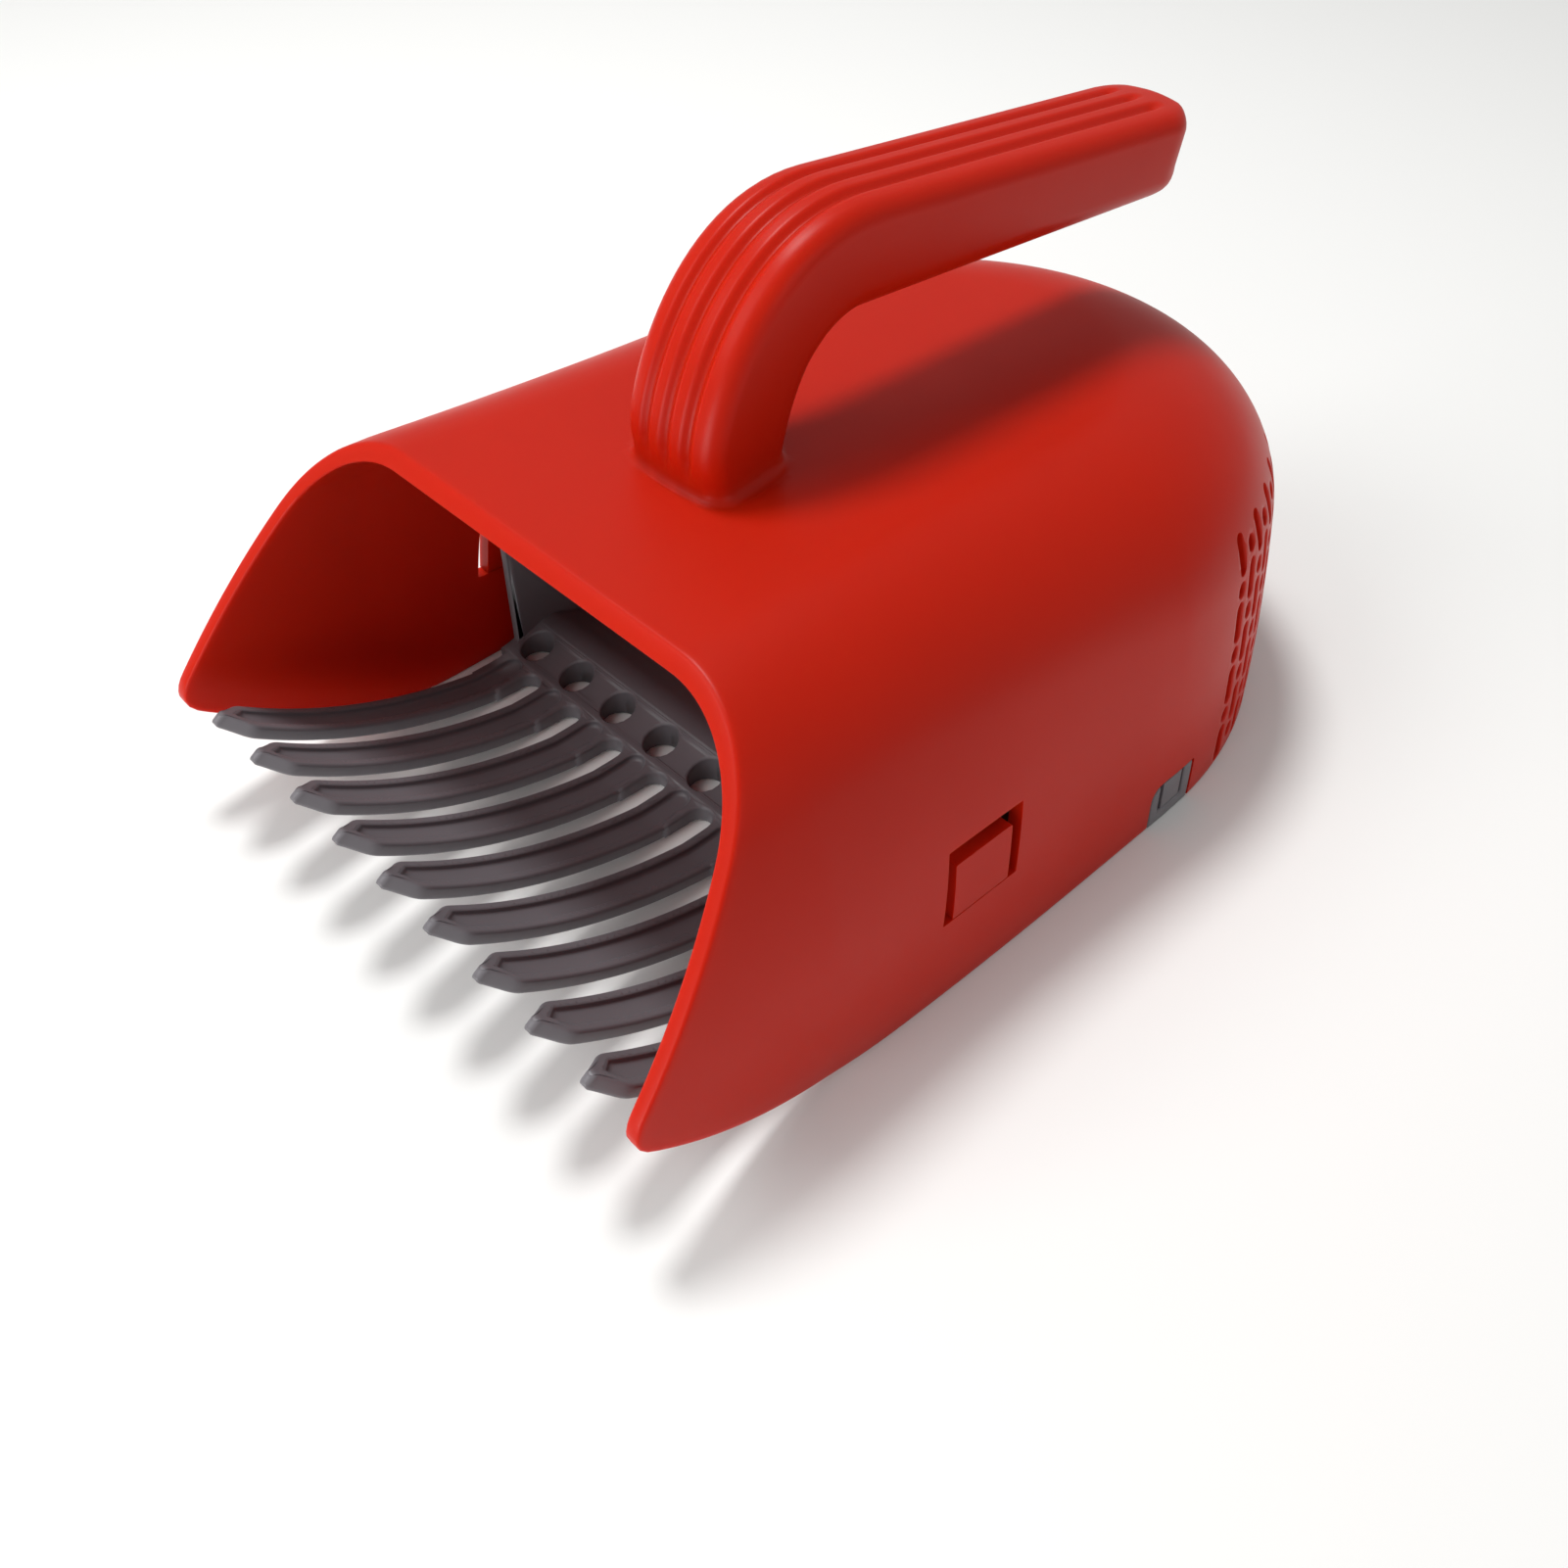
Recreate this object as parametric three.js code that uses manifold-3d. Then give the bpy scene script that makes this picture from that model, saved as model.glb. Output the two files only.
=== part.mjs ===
// Berry picking rake: a moulded hood with a carrying handle, and a nine-toothed comb tray
// that snaps into it from below with four springy tongues.
// Millimetres, +Z up, the comb points to -Y, the rake rests on its flat underside at z = 0.
import * as THREE from 'three';
import * as BufferGeometryUtils from 'three/addons/utils/BufferGeometryUtils.js';
import Module from 'manifold-3d';

const wasm = await Module();
wasm.setup();

// Comb: nine teeth in a row, each a curved strip with a groove along its upper face
const TOOTH_COUNT = 9;
const TOOTH_PITCH = 15;
const TOOTH_WIDTH = 9.3;
const TOOTH_THICKNESS = 3.1;
const TOOTH_SWEEP_RADIUS = 121.2;
const TOOTH_SWEEP_CENTRE_Y = 33;
const TOOTH_SWEEP_CENTRE_Z = 123.1;
const NOSE_Y = -45.5;
const NOSE_DEPTH = 5.8;
const NOSE_TIP_ROUNDING = 0.8;
const NOSE_CORNER_ROUNDING = 1.4;
const GAP_END_Y = 21.3;
const GROOVE_WIDTH = 4.5;
const GROOVE_NOSE_RIM = 3.4;
const GROOVE_END_Y = 22;
const GROOVE_NOSE_SINK = 1.2;
const GROOVE_ROOT_SINK = 2;

// Tray: the root bar behind the teeth with its row of drain holes, then a thin floor
const FLOOR_THICKNESS = 3;
const VALLEY_Y = 18.6;
const VALLEY_HEIGHT = 3.35;
const RISE_RADIUS = 34;
const CREST_Y = 37.5;
const CREST_WIDTH = 8;
const FLOOR_START_Y = 57;
const DRAIN_RADIUS = 4.15;
const DRAIN_Y = 30;
const TRAY_MARGIN = 6.8;
const TRAY_WALL = 1.9;
const TRAY_WALL_FRONT_Y = 28;
const TRAY_WALL_REAR_Y = 107;
const TRAY_WALL_FRONT_HEIGHT = 43;
const TRAY_WALL_REAR_HEIGHT = 12;
const TRAY_WALL_ROUNDING = 9;

// Hood: roof, two bulging sides and a rounded rear in one shell, open below and in front
const HOOD_WALL = 3.2;
const HOOD_HEIGHT = 83.2;
const ROOF_FALL_SHARE = 0.0432;
const FRONT_SIDE_GAP = 4.6;
const REAR_SIDE_GAP = 2.5;
const FRONT_SHOULDER_RADIUS = 29.5;
const REAR_SHOULDER_RADIUS = 34.8;
const FRONT_SIDE_RADIUS = 113.8;
const REAR_SIDE_RADIUS = 511;
const FRONT_BULGE_HEIGHT = 22.8;
const REAR_BULGE_HEIGHT = -3.2;
const HOOD_TAPER_START_Y = -3;
const HOOD_REAR_CENTRE_Y = 95.9;
const HOOD_REAR_REACH = 83.6;
const RIM_TOP_Y = -5.6;
const RIM_LEAN_SHARE = 0.8;
const RIM_TIP_ROUNDING = 7;
const BELLY_START_Y = 13.4;
const BELLY_RADIUS = 74.5;

// Rear vents: columns of long and short slots in turn, staggered from each column to the next
const VENT_COLUMNS = 39;
const VENT_START_SHARE = 1 / 12;
const VENT_WIDTH = 2.8;
const VENT_LONG = 9.8;
const VENT_SHORT = 3.7;
const VENT_RIB = 1.35;
const VENT_TOP_Z = 59.4;
const VENTS_PER_COLUMN = 7;

// Handle: an arm that rises from the roof near the front, bends and runs back over it
const HANDLE_WIDTH = 24.2;
const HANDLE_FOOT_WIDTH = 25;
const HANDLE_FRONT_Y = 23.2;
const HANDLE_REACH = 137;
const HANDLE_RISE = 44;
const HANDLE_OUTER_ROUNDING = 4;
const HANDLE_INNER_ROUNDING = 6.5;
const HANDLE_CROWN = 0.5;
const HANDLE_DRAFT = 1.9;
const HANDLE_FILLET = 2.4;
const HANDLE_END_PLAN_ROUNDING = 9.5;
const HANDLE_END_TOP_ROUNDING = 3;
const HANDLE_END_FOOT_ROUNDING = 5.5;
const HANDLE_GROOVE_SPACING = 5.5;
const HANDLE_GROOVE_WIDTH = 3.4;
const HANDLE_GROOVE_DEPTH = 1.1;
const HANDLE_GROOVE_START = 5;
const HANDLE_GROOVE_MARGIN = 8.5;

// Side catches: a tongue in each side of the hood, cut free on three sides
const CATCH_Y = 34.65;
const CATCH_WIDTH = 14.7;
const CATCH_ROOT_Z = 21.9;
const CATCH_TOP_Z = 37.2;
const CATCH_LEG_GAP = 1.9;
const CATCH_TOP_GAP = 2.6;
const CATCH_ROUNDING = 2.4;
const CATCH_LEDGE_WIDTH = 9;
const CATCH_LEDGE_HEIGHT = 2.8;
const CATCH_LEDGE_REACH = 1.4;
const LUG_HEIGHT = 2.1;
const LUG_REACH = 1.3;

// Rear tabs: a grey plate in a notch of each side of the hood, with a tongue between two slits
const TAB_FRONT_Y = 89.8;
const TAB_REAR_Y = 104.8;
const TAB_TOP_Z = 11.1;
const TAB_CORNER = 4;
const TAB_THICKNESS = 2.6;
const TAB_GAP = 0.5;
const TAB_WEB = 2.8;
const SLIT_WIDTH = 1;
const SLIT_FRONT_Y = 93.5;
const SLIT_REAR_Y = 100.9;
const SLIT_FOOT_Z = 3.2;

// Clearances
const HINGE_GAP = 0.4;
const SEAT_GAP = 0.3;

// Working allowances: how far a cutter runs past what it cuts, when two points are one,
// and when two triangles lie in one flat face
const OVERRUN = 8;
const MERGE_TOLERANCE = 0.0001;
const FLAT_TOLERANCE = 0.005;

// Facet counts
const SHOULDER_STEPS = 6;
const SIDE_STEPS = 5;
const TAPER_STEPS = 5;
const SWEEP_STEPS = 12;
const ROUND_STEPS = 14;
const CORNER_STEPS = 3;
const BEND_STEPS = 13;
const ARM_STEPS = 3;
const SETTLE_STEPS = 6;

// Places worked out from the driving dimensions
const lastTooth = (TOOTH_COUNT - 1) / 2;
const trayHalf = lastTooth * TOOTH_PITCH + TRAY_MARGIN;
const frontReach = trayHalf + FRONT_SIDE_GAP + HOOD_WALL;
const rearReach = trayHalf + REAR_SIDE_GAP + HOOD_WALL;
const trayRearReach = HOOD_REAR_REACH - HOOD_WALL - REAR_SIDE_GAP;
const hoodFront = NOSE_Y - TOOTH_THICKNESS - OVERRUN;
const hoodRear = HOOD_REAR_CENTRE_Y + HOOD_REAR_REACH;

// A closed solid from a geometry: shared points merged, needle triangles left out
function solidOf(geometry) {
  geometry.deleteAttribute('normal');
  geometry.deleteAttribute('uv');
  const merged = BufferGeometryUtils.mergeVertices(geometry, MERGE_TOLERANCE);
  const corners = merged.index.array;
  const kept = [];
  for (let i = 0; i < corners.length; i += 3) {
    const [a, b, c] = corners.slice(i, i + 3);
    if (a !== b && b !== c && c !== a) kept.push(a, b, c);
  }
  return new wasm.Manifold(new wasm.Mesh({
    numProp: 3,
    vertProperties: new Float32Array(merged.attributes.position.array),
    triVerts: new Uint32Array(kept),
  }));
}

// A closed solid from four-cornered faces
function solidOfQuads(quads) {
  const places = [];
  for (const [a, b, c, d] of quads) places.push(a, b, c, a, c, d);
  return solidOf(new THREE.BufferGeometry().setFromPoints(places));
}

// An outline whose corners are [across, up, rounding]; a rounding of zero leaves the corner sharp
function outline(corners) {
  const shape = new THREE.Shape();
  corners.forEach(([across, up, rounding = 0], i) => {
    const corner = new THREE.Vector2(across, up);
    const [before, after] = [corners.at(i - 1), corners[(i + 1) % corners.length]].map((near) => {
      const towards = new THREE.Vector2(near[0], near[1]).sub(corner);
      return corner.clone().addScaledVector(towards.normalize(), rounding);
    });
    if (i === 0) shape.moveTo(before.x, before.y);
    else shape.lineTo(before.x, before.y);
    if (rounding > 0) shape.quadraticCurveTo(corner.x, corner.y, after.x, after.y);
  });
  return shape;
}

// A plan outline in X and Y, raised from low to high
function raised(shape, low, high, steps = CORNER_STEPS) {
  const geometry = new THREE.ExtrudeGeometry(shape, { depth: high - low, bevelEnabled: false, curveSegments: steps });
  geometry.translate(0, 0, low);
  return solidOf(geometry);
}

// A side outline in Y and Z, stretched along X from left to right
function stretched(shape, left, right, steps = CORNER_STEPS) {
  const geometry = new THREE.ExtrudeGeometry(shape, { depth: right - left, bevelEnabled: false, curveSegments: steps });
  const ahead = new THREE.Vector3(0, 1, 0);
  const up = new THREE.Vector3(0, 0, 1);
  const across = new THREE.Vector3(1, 0, 0);
  geometry.applyMatrix4(new THREE.Matrix4().makeBasis(ahead, up, across));
  geometry.translate(left, 0, 0);
  return solidOf(geometry);
}

function block(low, high) {
  const [x, y, z] = low;
  const geometry = new THREE.BoxGeometry(high[0] - x, high[1] - y, high[2] - z);
  geometry.translate((high[0] + x) / 2, (high[1] + y) / 2, (high[2] + z) / 2);
  return solidOf(geometry);
}

// A round-ended strip seen from above: open towards the front, its rear end a half circle
function strip(x, halfWidth, frontY, endY) {
  const shape = new THREE.Shape();
  shape.moveTo(x - halfWidth, frontY);
  shape.lineTo(x + halfWidth, frontY);
  shape.lineTo(x + halfWidth, endY);
  shape.absarc(x, endY, halfWidth, 0, Math.PI, false);
  return shape;
}

// Hood shell

function roofHeight(y) {
  return HOOD_HEIGHT - ROOF_FALL_SHARE * (y - RIM_TOP_Y);
}

// Half of a cross-section: flat roof, round shoulder, gently bulging side.
// taper runs from 0 at the front to 1 at the rear; inset moves the whole line inwards.
function halfSection(taper, inset) {
  const mix = (front, rear) => front + (rear - front) * taper;
  const shoulderRadius = mix(FRONT_SHOULDER_RADIUS, REAR_SHOULDER_RADIUS);
  const bulgeHeight = mix(FRONT_BULGE_HEIGHT, REAR_BULGE_HEIGHT);
  const sideRadius = 1 / mix(1 / FRONT_SIDE_RADIUS, 1 / REAR_SIDE_RADIUS);
  const sideCentre = mix(frontReach, rearReach) - sideRadius;
  const shoulderHeight = HOOD_HEIGHT - shoulderRadius;
  const drop = shoulderHeight - bulgeHeight;
  const shoulderCentre = sideCentre + Math.sqrt((sideRadius - shoulderRadius) ** 2 - drop ** 2);
  const turn = Math.atan2(shoulderCentre - sideCentre, drop);
  const foot = Math.acos((-OVERRUN - inset - bulgeHeight) / (sideRadius - inset));
  const points = [[0, HOOD_HEIGHT - inset], [shoulderCentre / 2, HOOD_HEIGHT - inset]];
  for (let i = 0; i <= SHOULDER_STEPS; i += 1) {
    const angle = turn * i / SHOULDER_STEPS;
    const radius = shoulderRadius - inset;
    points.push([shoulderCentre + radius * Math.sin(angle), shoulderHeight + radius * Math.cos(angle)]);
  }
  for (let i = 1; i <= SIDE_STEPS; i += 1) {
    const angle = turn + (foot - turn) * i / SIDE_STEPS;
    const radius = sideRadius - inset;
    points.push([sideCentre + radius * Math.sin(angle), bulgeHeight + radius * Math.cos(angle)]);
  }
  return points;
}

// The closed body inside the hood's outer face, moved inwards by inset, running past rim and underside
function hoodBody(inset) {
  const place = (x, y, z) => new THREE.Vector3(x, y, z * roofHeight(y) / HOOD_HEIGHT);
  const frontYs = [hoodFront - inset, HOOD_TAPER_START_Y];
  for (let i = 1; i <= TAPER_STEPS; i += 1) {
    frontYs.push(HOOD_TAPER_START_Y + (HOOD_REAR_CENTRE_Y - HOOD_TAPER_START_Y) * i / TAPER_STEPS);
  }
  const straightRow = (y, side) => {
    const taper = Math.max(0, (y - HOOD_TAPER_START_Y) / (HOOD_REAR_CENTRE_Y - HOOD_TAPER_START_Y));
    return halfSection(taper, inset).map(([x, z]) => place(side * x, y, z));
  };
  const rows = frontYs.map((y) => straightRow(y, 1));
  const reachShare = (HOOD_REAR_REACH - inset) / (rearReach - inset);
  for (const angle of rearAngles()) {
    rows.push(halfSection(1, inset).map(([x, z]) => place(
      x * Math.cos(angle), HOOD_REAR_CENTRE_Y + x * reachShare * Math.sin(angle), z)));
  }
  rows.push(...frontYs.map((y) => straightRow(y, -1)).reverse());
  const quads = [];
  const last = rows.length - 1;
  const foot = rows[0].length - 1;
  for (let i = 0; i < last; i += 1) {
    for (let j = 0; j < foot; j += 1) {
      quads.push([rows[i][j], rows[i][j + 1], rows[i + 1][j + 1], rows[i + 1][j]]);
    }
  }
  for (let i = 0; i < Math.floor(rows.length / 2); i += 1) {
    quads.push([rows[i + 1][foot], rows[i][foot], rows[last - i][foot], rows[last - i - 1][foot]]);
  }
  for (let j = 0; j < foot; j += 1) {
    quads.push([rows[0][j], rows[last][j], rows[last][j + 1], rows[0][j + 1]]);
  }
  return solidOfQuads(quads);
}

// What is kept of the shell seen from the side: behind the leaning rim, above the swept-up belly
function hoodSide() {
  const rimFoot = RIM_TOP_Y - RIM_LEAN_SHARE * HOOD_HEIGHT;
  const lean = RIM_LEAN_SHARE / (2 * BELLY_RADIUS);
  const run = (1 - Math.sqrt(1 - 4 * lean * (rimFoot - BELLY_START_Y))) / (2 * lean);
  const tip = new THREE.Vector2(BELLY_START_Y + run, run ** 2 / (2 * BELLY_RADIUS));
  const rimWay = new THREE.Vector2(RIM_LEAN_SHARE, 1).normalize();
  const bellyEnd = run + RIM_TIP_ROUNDING * Math.SQRT1_2;
  const rimStart = tip.clone().addScaledVector(rimWay, RIM_TIP_ROUNDING);
  const top = HOOD_HEIGHT + OVERRUN;
  const shape = new THREE.Shape();
  shape.moveTo(hoodRear + OVERRUN, 0);
  shape.lineTo(hoodRear + OVERRUN, top);
  shape.lineTo(rimFoot + RIM_LEAN_SHARE * top, top);
  shape.lineTo(rimStart.x, rimStart.y);
  shape.quadraticCurveTo(tip.x, tip.y, BELLY_START_Y + bellyEnd, bellyEnd ** 2 / (2 * BELLY_RADIUS));
  shape.quadraticCurveTo(BELLY_START_Y + bellyEnd / 2, 0, BELLY_START_Y, 0);
  return stretched(shape, -frontReach - OVERRUN, frontReach + OVERRUN, SHOULDER_STEPS);
}

// Rear vents

const ventStart = Math.PI * VENT_START_SHARE;
const ventPitch = (Math.PI - 2 * ventStart) / (VENT_COLUMNS - 1);

// Angles at which the rear wall has a crease: two columns of vents lie in each flat between creases,
// but only one in the first, the middle and the last
function rearAngles() {
  const pairs = (VENT_COLUMNS - 3) / 4;
  const groups = [1, ...Array(pairs).fill(2), 1, ...Array(pairs).fill(2), 1];
  const first = ventStart - ventPitch / 2;
  const angles = [first / 2, first];
  for (const columns of groups) angles.push(angles.at(-1) + ventPitch * columns);
  return [...angles, Math.PI - first / 2];
}

// The point on the outside of the rear wall at an angle round it and a height
function rearPoint(angle, z) {
  const wall = halfSection(1, 0);
  let x = rearReach;
  let y = HOOD_REAR_CENTRE_Y;
  for (let i = 0; i < SETTLE_STEPS; i += 1) {
    const level = z * HOOD_HEIGHT / roofHeight(y);
    const below = wall.findIndex((point) => point[1] < level);
    const [high, low] = [wall[below - 1], wall[below]];
    x = low[0] + (high[0] - low[0]) * (level - low[1]) / (high[1] - low[1]);
    y = HOOD_REAR_CENTRE_Y + x * HOOD_REAR_REACH / rearReach * Math.sin(angle);
  }
  return new THREE.Vector3(x * Math.cos(angle), y, z);
}

// One slot, square to the wall
function ventCutter(angle, z, length) {
  const along = rearPoint(angle + ventPitch / 2, z).sub(rearPoint(angle - ventPitch / 2, z)).normalize();
  const up = rearPoint(angle, z + VENT_WIDTH / 2).sub(rearPoint(angle, z - VENT_WIDTH / 2)).normalize();
  const out = along.clone().cross(up).normalize();
  const geometry = new THREE.BoxGeometry(VENT_WIDTH, length, 2 * OVERRUN);
  geometry.applyMatrix4(new THREE.Matrix4()
    .makeBasis(up.clone().cross(out), up, out)
    .setPosition(rearPoint(angle, z)));
  return solidOf(geometry);
}

function ventCutters() {
  const cutters = [];
  for (let column = 0; column < VENT_COLUMNS; column += 1) {
    const longFirst = column % 2 === 0;
    let top = longFirst ? VENT_TOP_Z : VENT_TOP_Z - (VENT_LONG - VENT_SHORT) / 2;
    for (let i = 0; i < VENTS_PER_COLUMN; i += 1) {
      const length = (i % 2 === 0) === longFirst ? VENT_LONG : VENT_SHORT;
      cutters.push(ventCutter(ventStart + ventPitch * column, top - length / 2, length));
      top -= length + VENT_RIB;
    }
  }
  return wasm.Manifold.union(cutters);
}

// Handle

// Side view of the arm: each edge runs straight up, bends, and runs straight back. The rows are the
// foot, the start of the bend, its two handles, its end and the arm's end, as shares of reach and rise.
const OUTER_EDGE_SHARES = [
  [0.018, -0.043], [0.009, 0.136], [0.004, 0.318], [0.091, 1.055], [0.321, 0.984], [1, 0.761],
];
const INNER_EDGE_SHARES = [
  [0.163, -0.043], [0.184, 0.148], [0.203, 0.341], [0.257, 0.495], [0.314, 0.482], [1.011, 0.316],
];
const BEND_SHARES = [0.14, 0.52];
const STEM_RING_SHARES = [0, 0.15, 0.22, 0.35, 0.65];
const END_RING_SHARES = [0.046, 0.031, 0.018, 0.008, 0.002, 0];

function edgePoint(shares, way) {
  const points = shares.map(([y, z]) => new THREE.Vector2(y * HANDLE_REACH, z * HANDLE_RISE));
  const [start, end] = BEND_SHARES;
  if (way < start) return points[0].lerp(points[1], way / start);
  if (way > end) return points[4].lerp(points[5], (way - end) / (1 - end));
  return new THREE.CubicBezierCurve(...points.slice(1, 5)).getPoint((way - start) / (end - start));
}

// How far a rounded end has drawn in at a distance from its face
function roundedOff(distance, radius) {
  const gap = Math.max(radius - distance, 0);
  return radius - Math.sqrt(Math.max(radius ** 2 - gap ** 2, 0));
}

// Half of the arm's section, from the middle of its grooved outer face round to its inner face, as
// [across, true if it is measured from the outer edge, depth below that edge, true in a groove]
function handleHalfSection(width) {
  const half = width / 2;
  const flat = half - HANDLE_OUTER_ROUNDING;
  const lowFlat = half - HANDLE_DRAFT - HANDLE_INNER_ROUNDING;
  const crown = (across) => HANDLE_CROWN * (across / flat) ** 2;
  const points = [[0, true, 0, true]];
  const side = HANDLE_GROOVE_WIDTH / 2;
  for (const across of [side, HANDLE_GROOVE_SPACING - side, HANDLE_GROOVE_SPACING, HANDLE_GROOVE_SPACING + side]) {
    points.push([across, true, crown(across), across === HANDLE_GROOVE_SPACING]);
  }
  for (let i = 0; i <= CORNER_STEPS; i += 1) {
    const angle = Math.PI / 2 * i / CORNER_STEPS;
    points.push([flat + HANDLE_OUTER_ROUNDING * Math.sin(angle), true,
      HANDLE_CROWN + HANDLE_OUTER_ROUNDING * (1 - Math.cos(angle)), false]);
  }
  for (let i = CORNER_STEPS; i >= 0; i -= 1) {
    const angle = Math.PI / 2 * i / CORNER_STEPS;
    points.push([lowFlat + HANDLE_INNER_ROUNDING * Math.sin(angle), false,
      HANDLE_INNER_ROUNDING * (1 - Math.cos(angle)), false]);
  }
  return points;
}

function handleRing(way) {
  const outer = edgePoint(OUTER_EDGE_SHARES, way);
  const inner = edgePoint(INNER_EDGE_SHARES, way);
  const inward = inner.clone().sub(outer).normalize();
  const toEnd = outer.distanceTo(edgePoint(OUTER_EDGE_SHARES, 1));
  const height = Math.max(outer.y, 0);
  const stemShare = Math.max(0, 1 - height / HANDLE_WIDTH);
  const width = HANDLE_WIDTH + (HANDLE_FOOT_WIDTH - HANDLE_WIDTH) * stemShare;
  const half = handleHalfSection(width);
  const round = [...half, ...half.toReversed().slice(0, -1).map(([x, ...rest]) => [-x, ...rest])];
  const grooved = height > HANDLE_GROOVE_START && toEnd > HANDLE_GROOVE_MARGIN;
  const narrow = 1 - roundedOff(toEnd, HANDLE_END_PLAN_ROUNDING) / (width / 2);
  const flare = roundedOff(height, HANDLE_FILLET);
  const tilt = ROOF_FALL_SHARE * stemShare;
  return round.map(([across, fromOuter, depth, sunk]) => {
    const drawn = roundedOff(toEnd, fromOuter ? HANDLE_END_TOP_ROUNDING : HANDLE_END_FOOT_ROUNDING);
    const sink = depth + drawn + (grooved && sunk ? HANDLE_GROOVE_DEPTH : 0);
    const at = (fromOuter ? outer : inner).clone().addScaledVector(inward, fromOuter ? sink : -sink);
    const plan = new THREE.Vector2(across * narrow, at.x);
    const outwards = plan.clone().sub(new THREE.Vector2(0, (outer.x + inner.x) / 2)).normalize();
    plan.addScaledVector(outwards, flare);
    const z = roofHeight(HANDLE_FRONT_Y) + at.y - tilt * plan.y;
    return new THREE.Vector3(plan.x, HANDLE_FRONT_Y + plan.y, z);
  });
}

function handleArm() {
  const [start, end] = BEND_SHARES;
  const ways = STEM_RING_SHARES.map((share) => start * share);
  for (let i = 0; i < BEND_STEPS; i += 1) ways.push(start + (end - start) * i / BEND_STEPS);
  for (let i = 0; i < ARM_STEPS; i += 1) ways.push(end + (1 - END_RING_SHARES[0] - end) * i / ARM_STEPS);
  ways.push(...END_RING_SHARES.map((share) => 1 - share));
  const rows = ways.map(handleRing);
  const quads = [];
  for (let i = 1; i < rows.length; i += 1) {
    rows[i].forEach((_, j) => {
      const next = (j + 1) % rows[i].length;
      quads.push([rows[i - 1][j], rows[i - 1][next], rows[i][next], rows[i][j]]);
    });
  }
  for (const [row, turned] of [[rows[0], true], [rows.at(-1), false]]) {
    const centre = row.reduce((sum, point) => sum.add(point), new THREE.Vector3()).divideScalar(row.length);
    row.forEach((point, j) => {
      const next = row[(j + 1) % row.length];
      quads.push(turned ? [centre, next, point, point] : [centre, point, next, next]);
    });
  }
  return solidOfQuads(quads);
}

// Side catches

function catchOutline(side, top, foot, rounding) {
  return outline([
    [CATCH_Y - side, foot],
    [CATCH_Y + side, foot],
    [CATCH_Y + side, top, rounding],
    [CATCH_Y - side, top, rounding],
  ]);
}

function catchWindow() {
  const side = CATCH_WIDTH / 2 + CATCH_LEG_GAP;
  const shape = catchOutline(side, CATCH_TOP_Z + CATCH_TOP_GAP, CATCH_ROOT_Z, CATCH_ROUNDING + CATCH_LEG_GAP);
  return stretched(shape, -frontReach - OVERRUN, frontReach + OVERRUN);
}

// The tongue is the piece of side wall inside the window, with a ledge inside at its top
function sideCatch(side, shell, outerBody) {
  const half = CATCH_WIDTH / 2;
  const tongue = catchOutline(half, CATCH_TOP_Z, CATCH_ROOT_Z + HINGE_GAP, CATCH_ROUNDING);
  const ledge = block(
    [trayHalf + LUG_REACH - CATCH_LEDGE_REACH + SEAT_GAP, CATCH_Y - CATCH_LEDGE_WIDTH / 2, CATCH_TOP_Z - CATCH_LEDGE_HEIGHT],
    [frontReach, CATCH_Y + CATCH_LEDGE_WIDTH / 2, CATCH_TOP_Z]);
  const wall = shell.intersect(stretched(tongue, 0, frontReach + OVERRUN));
  const piece = wall.add(ledge.intersect(outerBody));
  return side > 0 ? piece : mirrored(piece);
}

function mirrored(solid) {
  return solid.mirror([1, 0, 0]);
}

// Rear tabs

function tabOutline(gap) {
  return outline([
    [TAB_FRONT_Y + gap, gap > 0 ? 0 : -OVERRUN],
    [TAB_REAR_Y - gap, gap > 0 ? 0 : -OVERRUN],
    [TAB_REAR_Y - gap, TAB_TOP_Z - gap],
    [TAB_FRONT_Y + gap, TAB_TOP_Z - gap, TAB_CORNER],
  ]);
}

function latchOutline(foot) {
  return outline([
    [SLIT_FRONT_Y + SLIT_WIDTH / 2, foot],
    [SLIT_REAR_Y - SLIT_WIDTH / 2, foot],
    [SLIT_REAR_Y - SLIT_WIDTH / 2, TAB_TOP_Z - TAB_GAP],
    [SLIT_FRONT_Y + SLIT_WIDTH / 2, TAB_TOP_Z - TAB_GAP],
  ]);
}

// Plate flush with the hood's outer face, on a web that joins it to the tray's floor
function tab(outerBody, tabInside) {
  const plate = stretched(tabOutline(TAB_GAP), trayHalf - TRAY_WALL / 2, frontReach).intersect(outerBody);
  const pocket = tabInside.intersect(block(
    [0, TAB_FRONT_Y - OVERRUN, TAB_WEB],
    [frontReach, TAB_REAR_Y + OVERRUN, TAB_TOP_Z + OVERRUN]));
  const opened = block(
    [trayHalf, SLIT_FRONT_Y - SLIT_WIDTH / 2, SLIT_FOOT_Z],
    [frontReach, SLIT_REAR_Y + SLIT_WIDTH / 2, TAB_TOP_Z]);
  return plate.subtract(pocket).subtract(opened);
}

function rearLatch(side, outerBody, tabInside) {
  const piece = stretched(latchOutline(SLIT_FOOT_Z + HINGE_GAP), trayHalf, frontReach)
    .intersect(outerBody)
    .subtract(tabInside);
  return side > 0 ? piece : mirrored(piece);
}

// Comb tray

function sweepHeight(y, sink = 0) {
  const radius = TOOTH_SWEEP_RADIUS + sink;
  return TOOTH_SWEEP_CENTRE_Z - Math.sqrt(radius ** 2 - (y - TOOTH_SWEEP_CENTRE_Y) ** 2);
}

function toothTop(y) {
  return Math.max(sweepHeight(y), VALLEY_HEIGHT);
}

const combFront = NOSE_Y - TOOTH_THICKNESS * 2;

function frontToBackYs(front, back) {
  return Array.from({ length: SWEEP_STEPS + 1 }, (_, i) => front + (back - front) * i / SWEEP_STEPS);
}

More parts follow.
